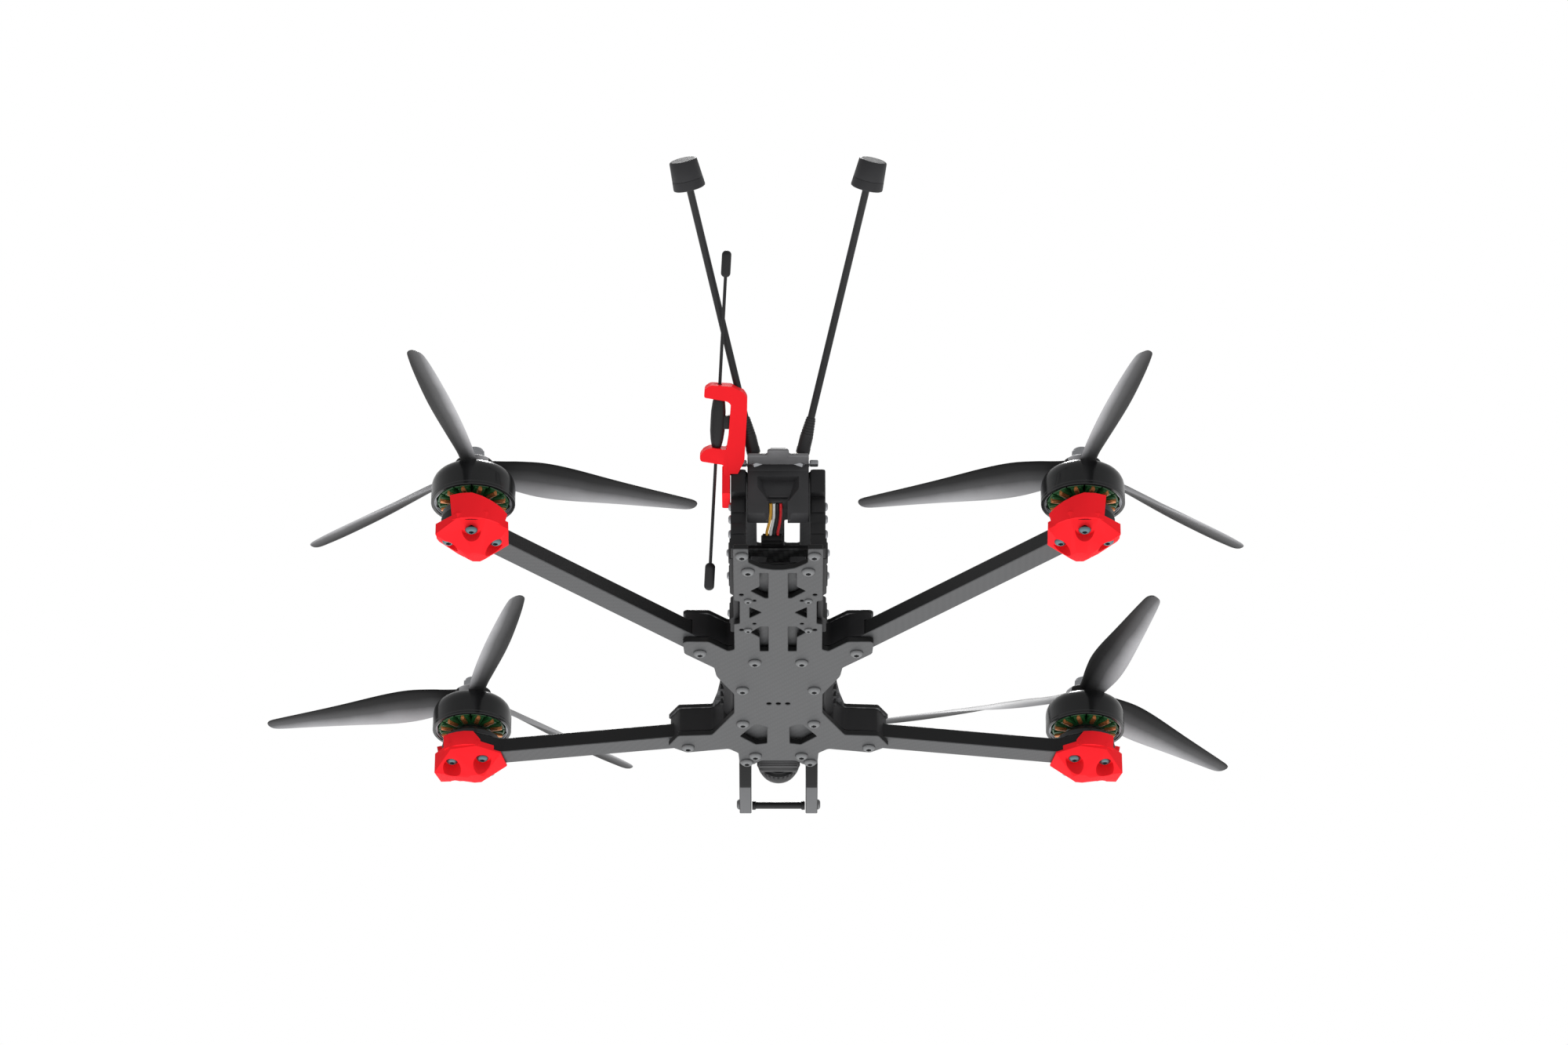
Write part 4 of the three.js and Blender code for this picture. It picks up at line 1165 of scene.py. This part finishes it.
def build_tail_housing():
    shell = moulded("housing_grey", (0.036, 0.036, 0.038), 0.5)
    # painted highlight: the pale grey second finish on the top ledge and its tab stands for light caught
    # along the rounded rim
    ledge_highlight = moulded("ledge_grey", (0.15, 0.15, 0.155), 0.5)
    half, front, back = TAIL["half"], TAIL["front"], TAIL["back"]
    form = Form().block((-half, front, TAIL["low"]), (half, back, TAIL["high"]), 0.8)
    mouth, floor = [(x, back + 0.6, z) for x, z in TAIL_MOUTH], [(x, back - 3.4, z) for x, z in TAIL_FLOOR]
    form.carve(Form().rings([mouth, floor]))
    form.carve(Form().block((-3.9, front - 1, TAIL["low"] - 1), (3.9, back + 1, 30.5), 0))
    form.carve(Form().block((1.6 - half, front - 1, 32.1), (half - 1.6, front + 1.6, 42.5), 0))
    form.block((-half, 87.3, 43.5), (half, back, TAIL["cap"] + 0.1), 0.3)
    form.block((-4.0, back - 3.6, 32.6), (4.0, back - 2.6, 33.6), 0.2)
    for side in (-1, 1):
        low, high = between(side, 3.9, 5.0)
        form.block((low, back - 1.6, 20.6), (high, back - 0.1, 29.0), 0.2)
    cap = [(-half, 80), (half, 80), (half, 98.4), (4.6, 98.4), (4.2, 102.2), (-4.2, 102.2), (-4.6, 98.4),
           (-half, 98.4)]
    # top ledge and tab in the pale finish, a painted highlight along the rim
    form.slab(rounded(cap, 0.8), TAIL["cap"], TAIL["cap"] + 1.8, (), 0.5, None, 1)
    form.block((-3.2, 96.5, TAIL["cap"] + 1.7), (3.2, 101.2, TAIL["cap"] + 2.5), 0.3, None, 1)
    form.piece("tail_shell", "frame", "moulded_black", [shell, ledge_highlight], ["tail_housing"])


ANTENNA_RIBS, THREADS = 6, 7
SOCKET_SEAT_Z = 49.1


def build_video_antennas():
    sheath = moulded("antenna_sheath", (0.017, 0.017, 0.018), 0.4, 0.015)
    head_black = moulded("antenna_head", (0.022, 0.022, 0.024), 0.46, 0.03)
    face_grey = moulded("antenna_face", (0.13, 0.13, 0.135), 0.5)
    brass = bare_metal("brass", (0.75, 0.55, 0.24), 0.25)
    for side, sign in SIDES:
        base, tip = Vector(ANTENNA_BASE), Vector(ANTENNA_TIP)
        base.x, tip.x = base.x * sign, tip.x * sign
        place, length = facing(base, tip - base), (tip - base).length
        form = Form()
        boot = [(0, 0), (2.5, 0), (2.85, 0.3), (2.85, 2.4), (2.72, 2.6), (2.72, 7.4), (2.6, 8.0)]
        for k in range(ANTENNA_RIBS):
            z, r = 8.2 + 1.15 * k, 2.62 - 0.11 * k
            boot += [(r, z), (r, z + 0.7), (r - 0.18, z + 0.8), (r - 0.18, z + 1.1)]
        boot += [(1.92, 15.4), (1.6, 15.7), (1.5, 16.0), (1.5, length - 13), (1.9, length - 12.4),
                 (2.2, length - 11.8), (0, length - 11.8)]
        form.lathe(boot, place, 0, 32)
        low = length - 12
        cap = [(0, low), (6.1, low), (6.5, low + 0.25), (6.6, low + 0.8), (6.35, low + 3.9),
               (6.2, low + 4.05), (6.3, low + 4.3), (5.75, length - 0.6), (5.55, length - 0.2),
               (5.1, length), (4.6, length)]
        form.lathe(cap, place, 1, 56)
        high, dip = length - 0.02, length - 0.25
        face = [(4.62, length - 0.3), (4.6, high), (3.7, high), (3.6, dip), (3.3, dip), (3.2, high),
                (1.3, high), (1.2, dip), (0, dip)]
        form.lathe(face, place, 2, 48)
        form.piece(f"aerial_{side}", "frame", "antenna_black", [sheath, head_black, face_grey],
                   [f"video_antenna_{side}"])
        socket = Form()
        seat = (SOCKET_SEAT_Z - base.z) / (tip - base).normalized().z
        thread = []
        for k in range(THREADS):
            z = seat + 0.35 * k
            thread += [(3.0, z), (3.15, z + 0.12), (3.0, z + 0.24)]
        socket.lathe([(0, seat - 0.2), (3.0, seat - 0.2), *thread, (2.3, 0), (0, 0)], place, 0, 32)
        socket.rings([hex_ring(7.2, seat - 1.0, 36), hex_ring(7.2, seat + 0.4, 36)], place, 1)
        socket.piece(f"aerial_socket_{side}", "frame", "steel", [brass, steel()], [f"antenna_socket_{side}"])


def bead_profile(z0, z1, r):
    """Outline of a round bead with domed ends."""
    angles = [math.pi / 2 * k / 6 for k in range(1, 7)]
    front = [(r * math.sin(a), z0 + r * 0.9 * (1 - math.cos(a))) for a in angles]
    return [(0, z0), *front, *[(a, z0 + z1 - b) for a, b in reversed(front)], (0, z1)]


def build_receiver_aerial():
    rubber = moulded("whip_black", (0.014, 0.014, 0.015), 0.45, 0.02)
    form = Form()
    span = WHIP_HIGH - WHIP_LOW
    length = span.length
    place = facing(WHIP_LOW, span)
    form.lathe(bead_profile(0, length * 0.082, 2.1), place, 0, 28)
    form.lathe(bead_profile(length * 0.922, length, 1.95), place, 0, 28)
    bow = [WHIP_LOW + span * t for t in (0.07, 0.2, 0.35, 0.5, 0.65, 0.8, 0.93)]
    form.tube(smooth_path(bow, 4), 0.7, 10)
    z0, z1 = length * 0.425, length * 0.58
    form.lathe([(0, z0), (1.6, z0), (2.0, z0 + 0.4), (2.6, z0 + 3.2), (3.0, z0 + 7), (3.05, (z0 + z1) / 2),
                (3.0, z1 - 7), (2.6, z1 - 3.2), (2.0, z1 - 0.4), (1.6, z1), (0, z1)], place, 0, 32)
    middle, c = WHIP_LOW + span * 0.5, math.sqrt(0.5)
    lean = Matrix(((1, 0, 0, middle.x), (0, c, c, middle.y), (0, -c, c, middle.z), (0, 0, 0, 1)))
    form.block((-5.2, -1.8, -2.8), (-1.0, 1.8, 2.8), 0.5, lean)
    form.piece("receiver_whip", "frame", "antenna_black", [rubber], ["receiver_antenna"])
    Form().refined("receiver_antenna_mount", 0.3, 30).piece(
        "whip_holder", "frame", "red_rubber", [red_print()], ["receiver_antenna_mount"])


# ---- electronics ----
BOARDS = (("motor_controller", "speed_controller", 26.0), ("flight_board", "flight_controller", 34.0))
BOLT_Z, BOLT_TOP = 22.4, 44.2
GROMMET = [  # radii, and heights from the middle of its board
    (1.52, -2.2), (2.9, -2.2), (3.1, -1.7), (3.0, -0.9), (1.9, -0.85), (1.9, 0.85), (3.0, 0.9), (3.1, 1.7),
    (2.9, 2.2), (1.52, 2.2),
]


def build_stack():
    board = circuit("solder_mask", (0.012, 0.014, 0.016))
    chip = moulded("chip_black", (0.016, 0.016, 0.017), 0.42, 0.01)
    tin = bare_metal("tinned", (0.62, 0.62, 0.60), 0.3)
    half, y = 17.9, STACK_Y
    posts = [(-STACK_HALF, y - STACK_HALF), (STACK_HALF, y - STACK_HALF), (STACK_HALF, y + STACK_HALF),
             (-STACK_HALF, y + STACK_HALF)]
    holes = [circle(px, py, 2.0) for px, py in posts]
    for name, node, z in BOARDS:
        form = Form().slab(rounded(rectangle(-half, y - half, half, y + half), 2), z, z + 1.6, holes, 0.1)
        form.block((-6.4, y - 6.4, z + 1.5), (6.4, y + 6.4, z + 2.7), 0.15, None, 1)
        for i in range(6):
            for sx in (-1, 1):
                cx, cy = sx * 11.5, y - 10 + 4 * i
                form.block((cx - 1.6, cy - 1.5, z + 1.5), (cx + 1.6, cy + 1.5, z + 2.5), 0.12, None, 1)
                px = sx * 16.6
                form.block((px - 1.1, cy - 1.3, z - 0.15), (px + 1.1, cy + 1.3, z + 1.85), 0.12, None, 2)
        for i in range(5):
            form.block((-9 + 4 * i, y + 12.2, z + 1.5), (-6.6 + 4 * i, y + 13.4, z + 2.3), 0.1, None, 2)
            form.block((-9 + 4 * i, y - 13.6, z + 1.5), (-6.4 + 4 * i, y - 12.0, z + 2.4), 0.1, None, 1)
        form.piece(name, "frame", "circuit_board", [board, chip, tin], [node])
    rubber = moulded("grommet_rubber", (0.02, 0.02, 0.022), 0.7)
    thread = []
    for k in range(44):
        z = BOLT_Z + 0.5 * k
        thread += [(1.35, z), (1.5, z + 0.25)]
    for i, (px, py) in enumerate(posts, 1):
        form, place = Form(), at(px, py, 0)
        form.lathe([(0, BOLT_Z), *thread, (1.4, BOLT_TOP), (0, BOLT_TOP)], place, 0, 20)
        for _, _, board_z in BOARDS:
            form.lathe([(r, board_z + 0.8 + dz) for r, dz in GROMMET], place, 1, 24, looped=True)
        form.piece(f"stack_bolt_{i}", "frame", "steel", [steel(), rubber], [f"stack_post_{i}"])


FINS = 11


def build_transmitter():
    case = bare_metal("cast_case", (0.16, 0.16, 0.17), 0.42, 0.6)
    form = Form().block((-15, -12, MID_TOP + GAP), (15, 18, MID_TOP + 5.6), 0.8)
    for k in range(FINS):
        x = -13.4 + 2.68 * k
        form.block((x - 0.55, -11.2, MID_TOP + 5.2), (x + 0.55, 17.2, MID_TOP + 8.5), 0.25)
    low, high = MID_TOP + 5, MID_TOP + 6.9
    for x, y in ((-13.2, -10.4), (13.2, -10.4), (-13.2, 16.4), (13.2, 16.4)):
        form.lathe([(0, low), (1.6, low), (1.6, high - 0.3), (1.2, high), (0, high)], at(x, y, 0), 0, 20)
    form.piece("transmitter_case", "frame", "transmitter_case", [case], ["video_transmitter"])


def build_gps():
    shell = moulded("gps_shell", (0.018, 0.018, 0.02), 0.45)
    patch = lacquer("ceramic_patch", (0.20, 0.18, 0.13), 0.45)
    form = Form().block((-9.5, 58, DECK_TOP + GAP), (9.5, 77, DECK_TOP + 4.6), 1.3)
    form.block((-9.3, 58.2, DECK_TOP + 4.4), (9.3, 76.8, DECK_TOP + 5.2), 0.35)
    form.block((-7.6, 59.9, DECK_TOP + 5.0), (7.6, 75.1, DECK_TOP + 7.0), 0.4, None, 1)
    for x, y in ((-8.4, 59.1), (8.4, 59.1), (-8.4, 75.9), (8.4, 75.9)):
        button_screw(form, (x, y, DECK_TOP + 5.2), (0, 0, 1), 1.5, 2, 18)
    form.piece("satellite_receiver", "frame", "moulded_black", [shell, patch, steel()], ["gps_module"])


PAD_RIBS = 14


def build_battery_pad():
    outline = rounded(rectangle(-15, -60, 15, 22), 3, 6)
    form = Form().slab(outline, DECK_TOP + GAP, DECK_TOP + 2.2, (), 0.4)
    for k in range(PAD_RIBS):
        y = -56.8 + 5.83 * k
        form.block((-13.6, y - 2.2, DECK_TOP + 2.0), (13.6, y + 2.2, DECK_TOP + 2.8), 0.35)
    pad = form.piece("grip_pad", "frame", "foam", [grip_foam("grip_foam")], ["battery_pad"])


# ---- leads ----
LEADS = {  # where each lead starts and ends across the tail, then its colour
    "yellow": ((3.1, 4.6), (0.80, 0.42, 0.05)), "white": ((1.7, 3.1), (0.78, 0.79, 0.80)),
    "black": ((0.3, 1.6), (0.012, 0.012, 0.013)), "red": ((-1.1, 0.1), (0.66, 0.012, 0.020)),
}


def build_leads():
    for colour, ((start, end), paint) in LEADS.items():
        route = [(start, 88.4, 30.4), (start, 86.4, 29.3), (start + 0.1, 82.0, 27.9),
                 ((start + end) / 2, 78.6, 25.9), (end, 76.2, 24.0), (end, 74.9, 23.2)]
        sheath = silicone(f"silicone_{colour}", paint)
        Form().tube(smooth_path(route, 6), 0.62, 12).piece(
            f"wire_{colour}", "frame", f"lead_{colour}", [sheath], [f"lead_{colour}"])
    plug = Form().block((-2.2, 68.9, 20.4), (7.0, 72.6, 24.6), 0.4)
    plug.block((-1.6, 72.2, 20.9), (6.4, 74.6, 24.1), 0.3)
    for k in range(4):
        plug.block((-1.3 + 1.9 * k, 69.6, 24.3), (-0.3 + 1.9 * k, 72.0, 24.9), 0.12)
    plug.piece("wire_plug", "frame", "moulded_black", [black()], ["lead_plug"])


# ---- stage ----
def light(name, place, aim, size, watts, shiny=False):
    """A round lamp that only shades surfaces, or one that only glints on them."""
    lamp = bpy.data.lights.new(name, "AREA")
    lamp.shape, lamp.size, lamp.energy = "DISK", size, watts
    item = bpy.data.objects.new(name, lamp)
    item.location = place
    item.rotation_euler = (Vector(aim) - Vector(place)).to_track_quat("-Z", "Y").to_euler()
    item.visible_camera, item.visible_glossy, item.visible_diffuse = False, shiny, not shiny
    bpy.context.scene.collection.objects.link(item)


def build_floor(studio):
    """Pale floor that is seen from above only, so that the low camera looks up past it."""
    mesh = bpy.data.meshes.new("floor")
    r = studio.floor_size / 2
    mesh.from_pydata([(-r, -r, -MM), (r, -r, -MM), (r, r, -MM), (-r, r, -MM)], [], [(0, 1, 2, 3)])
    floor = bpy.data.objects.new("floor", mesh)
    bpy.context.scene.collection.objects.link(floor)
    paint = Finish("floor_paint")
    mottle = paint.noise(paint.place(), 0.004, 3.0)
    shade = tuple(studio.floor)
    tone = paint.mix(mottle, [c * 0.985 for c in shade], shade)
    paint.set(Base_Color=tone, Roughness=(0.6 + mottle * 0.1), Emission_Color=tone, Emission_Strength=0.15)
    below = paint.node("ShaderNodeNewGeometry", out="Backfacing")
    clear = paint.node("ShaderNodeBsdfTransparent")
    surface = Value(paint, paint.shader.outputs[0])
    blend = paint.node("ShaderNodeMixShader", {}, {0: below, 1: surface, 2: clear})
    paint.tree.links.new(blend.socket, paint.tree.nodes["Material Output"].inputs["Surface"])
    mesh.materials.append(paint.material)
    for kind in ("visible_diffuse", "visible_glossy", "visible_shadow", "visible_transmission"):
        setattr(floor, kind, False)


def build_surround(studio):
    """White to the eye; as a light it is bright below and in front of the nose and dim behind the tail."""
    world = bpy.data.worlds.new("surround")
    bpy.context.scene.world = world
    world.use_nodes = True
    sky, background = Nodes(world.node_tree), world.node_tree.nodes["Background"]
    _, y, z = sky.axes(sky.node("ShaderNodeTexCoord", out="Generated"))
    toward = (0.5 - z * 0.42 - y * 0.26).clamp()
    strength = (0.42 + toward * toward * 1.15) * studio.glow
    seen = sky.node("ShaderNodeLightPath", out="Is Camera Ray")
    sky.feed(background.inputs["Strength"], seen + (1.0 - seen) * strength)
    sky.feed(background.inputs["Color"], (1, 1, 1))


class QUADCOPTER_OT_stage(bpy.types.Operator):
    """Floor, soft lights, surround and camera"""
    bl_idname = "quadcopter.stage"
    bl_label = "Stage"

    def execute(self, context):
        studio = context.scene.quadcopter_studio
        build_floor(studio)
        build_surround(studio)
        light("key_above", (0.7, -0.9, 1.5), (0, 0, 0.03), 1.2, 26)
        light("fill_tail", (-0.9, 1.3, 0.9), (0, 0, 0.03), 0.7, 7)
        light("glow_below", (0.3, -0.5, -1.3), (0, 0, 0), 1.4, 11)
        light("glint_above", (0.0, -0.82, 1.5), (0, 0, 0.03), 0.2, 9, True)
        camera = bpy.data.cameras.new("camera")
        camera.lens, camera.sensor_width, camera.sensor_fit = studio.lens, 36, "HORIZONTAL"
        camera.clip_start, camera.clip_end = 0.05, 50
        item = bpy.data.objects.new("camera", camera)
        item.location = studio.camera_at
        item.rotation_euler = (studio.camera_tilt, 0, math.pi)
        context.scene.collection.objects.link(item)
        context.scene.camera = item
        context.scene.view_settings.view_transform = "Standard"
        return {"FINISHED"}


class QUADCOPTER_OT_plates(bpy.types.Operator):
    """Belly, waist and deck plates with their windows"""
    bl_idname = "quadcopter.plates"
    bl_label = "Carbon plates"

    def execute(self, context):
        build_plates()
        return {"FINISHED"}


class QUADCOPTER_OT_plate_screws(bpy.types.Operator):
    """Button screws and nuts of the plates"""
    bl_idname = "quadcopter.plate_screws"
    bl_label = "Plate screws"

    def execute(self, context):
        build_plate_screws()
        return {"FINISHED"}


class QUADCOPTER_OT_arms(bpy.types.Operator):
    """Four carbon arms and the moulded blocks that clamp them"""
    bl_idname = "quadcopter.arms"
    bl_label = "Arms"

    def execute(self, context):
        build_arms()
        return {"FINISHED"}


class QUADCOPTER_OT_feet(bpy.types.Operator):
    """Four red boots with their motor screws"""
    bl_idname = "quadcopter.feet"
    bl_label = "Feet"

    def execute(self, context):
        build_feet()
        return {"FINISHED"}


class QUADCOPTER_OT_stators(bpy.types.Operator):
    """Motor bases with green cores and copper windings"""
    bl_idname = "quadcopter.stators"
    bl_label = "Motor stators"

    def execute(self, context):
        build_stators()
        return {"FINISHED"}


class QUADCOPTER_OT_bells(bpy.types.Operator):
    """Turning bells with magnets, vents and shafts"""
    bl_idname = "quadcopter.bells"
    bl_label = "Motor bells"

    def execute(self, context):
        build_bells()
        return {"FINISHED"}


class QUADCOPTER_OT_propellers(bpy.types.Operator):
    """Three-bladed propellers and their lock nuts"""
    bl_idname = "quadcopter.propellers"
    bl_label = "Propellers"

    def execute(self, context):
        build_propellers()
        return {"FINISHED"}


class QUADCOPTER_OT_side_trim(bpy.types.Operator):
    """Waist guards, tail rails and corner posts"""
    bl_idname = "quadcopter.side_trim"
    bl_label = "Side trim"

    def execute(self, context):
        build_side_trim()
        return {"FINISHED"}


class QUADCOPTER_OT_nose(bpy.types.Operator):
    """Carbon nose fork with its bar and screws"""
    bl_idname = "quadcopter.nose"
    bl_label = "Nose"

    def execute(self, context):
        build_nose()
        return {"FINISHED"}


class QUADCOPTER_OT_camera_unit(bpy.types.Operator):
    """Tilting camera with its lens"""
    bl_idname = "quadcopter.camera_unit"
    bl_label = "Camera"

    def execute(self, context):
        build_camera()
        return {"FINISHED"}


class QUADCOPTER_OT_tail_housing(bpy.types.Operator):
    """Moulded housing over the tail plug"""
    bl_idname = "quadcopter.tail_housing"
    bl_label = "Tail housing"

    def execute(self, context):
        build_tail_housing()
        return {"FINISHED"}


class QUADCOPTER_OT_video_antennas(bpy.types.Operator):
    """Two leaning antennas and their sockets"""
    bl_idname = "quadcopter.video_antennas"
    bl_label = "Video antennas"

    def execute(self, context):
        build_video_antennas()
        return {"FINISHED"}


class QUADCOPTER_OT_receiver_aerial(bpy.types.Operator):
    """Thin aerial in its red holder"""
    bl_idname = "quadcopter.receiver_aerial"
    bl_label = "Receiver aerial"

    def execute(self, context):
        build_receiver_aerial()
        return {"FINISHED"}


class QUADCOPTER_OT_stack(bpy.types.Operator):
    """Two circuit boards on four bolts"""
    bl_idname = "quadcopter.stack"
    bl_label = "Electronics stack"

    def execute(self, context):
        build_stack()
        return {"FINISHED"}


class QUADCOPTER_OT_transmitter(bpy.types.Operator):
    """Finned transmitter case"""
    bl_idname = "quadcopter.transmitter"
    bl_label = "Video transmitter"

    def execute(self, context):
        build_transmitter()
        return {"FINISHED"}


class QUADCOPTER_OT_gps(bpy.types.Operator):
    """Satellite receiver on the deck"""
    bl_idname = "quadcopter.gps"
    bl_label = "Satellite receiver"

    def execute(self, context):
        build_gps()
        return {"FINISHED"}


class QUADCOPTER_OT_battery_pad(bpy.types.Operator):
    """Ribbed grip pad for the battery"""
    bl_idname = "quadcopter.battery_pad"
    bl_label = "Battery pad"

    def execute(self, context):
        build_battery_pad()
        return {"FINISHED"}


class QUADCOPTER_OT_leads(bpy.types.Operator):
    """Four coloured leads and their plug"""
    bl_idname = "quadcopter.leads"
    bl_label = "Leads"

    def execute(self, context):
        build_leads()
        return {"FINISHED"}


class QUADCOPTER_PT_panel(bpy.types.Panel):
    """Lists the pieces of the quadcopter"""
    bl_label = "Quadcopter"
    bl_idname = "QUADCOPTER_PT_panel"
    bl_space_type = "VIEW_3D"
    bl_region_type = "UI"
    bl_category = "Quadcopter"

    def draw(self, context):
        for settings in (context.scene.quadcopter_looks, context.scene.quadcopter_sizes,
                         context.scene.quadcopter_studio):
            box = self.layout.box()
            for name in settings.__annotations__:
                box.prop(settings, name)
        for operator in OPERATORS:
            self.layout.operator(operator.bl_idname)


OPERATORS = (
    QUADCOPTER_OT_stage,
    QUADCOPTER_OT_plates,
    QUADCOPTER_OT_plate_screws,
    QUADCOPTER_OT_arms,
    QUADCOPTER_OT_feet,
    QUADCOPTER_OT_stators,
    QUADCOPTER_OT_bells,
    QUADCOPTER_OT_propellers,
    QUADCOPTER_OT_side_trim,
    QUADCOPTER_OT_nose,
    QUADCOPTER_OT_camera_unit,
    QUADCOPTER_OT_tail_housing,
    QUADCOPTER_OT_video_antennas,
    QUADCOPTER_OT_receiver_aerial,
    QUADCOPTER_OT_stack,
    QUADCOPTER_OT_transmitter,
    QUADCOPTER_OT_gps,
    QUADCOPTER_OT_battery_pad,
    QUADCOPTER_OT_leads,
)
GROUPS = {"quadcopter_looks": QuadcopterLooks, "quadcopter_sizes": QuadcopterSizes,
          "quadcopter_studio": QuadcopterStudio}


def register():
    for group in GROUPS.values():
        bpy.utils.register_class(group)
    for name, group in GROUPS.items():
        setattr(bpy.types.Scene, name, bpy.props.PointerProperty(type=group))
    for operator in OPERATORS:
        bpy.utils.register_class(operator)
    bpy.utils.register_class(QUADCOPTER_PT_panel)


def unregister():
    bpy.utils.unregister_class(QUADCOPTER_PT_panel)
    for operator in reversed(OPERATORS):
        bpy.utils.unregister_class(operator)
    for name in GROUPS:
        delattr(bpy.types.Scene, name)
    for group in GROUPS.values():
        bpy.utils.unregister_class(group)


def main():
    register()
    for operator in OPERATORS:
        family, name = operator.bl_idname.split(".")
        getattr(getattr(bpy.ops, family), name)()
    bpy.context.view_layer.update()


if __name__ == "__main__":
    main()
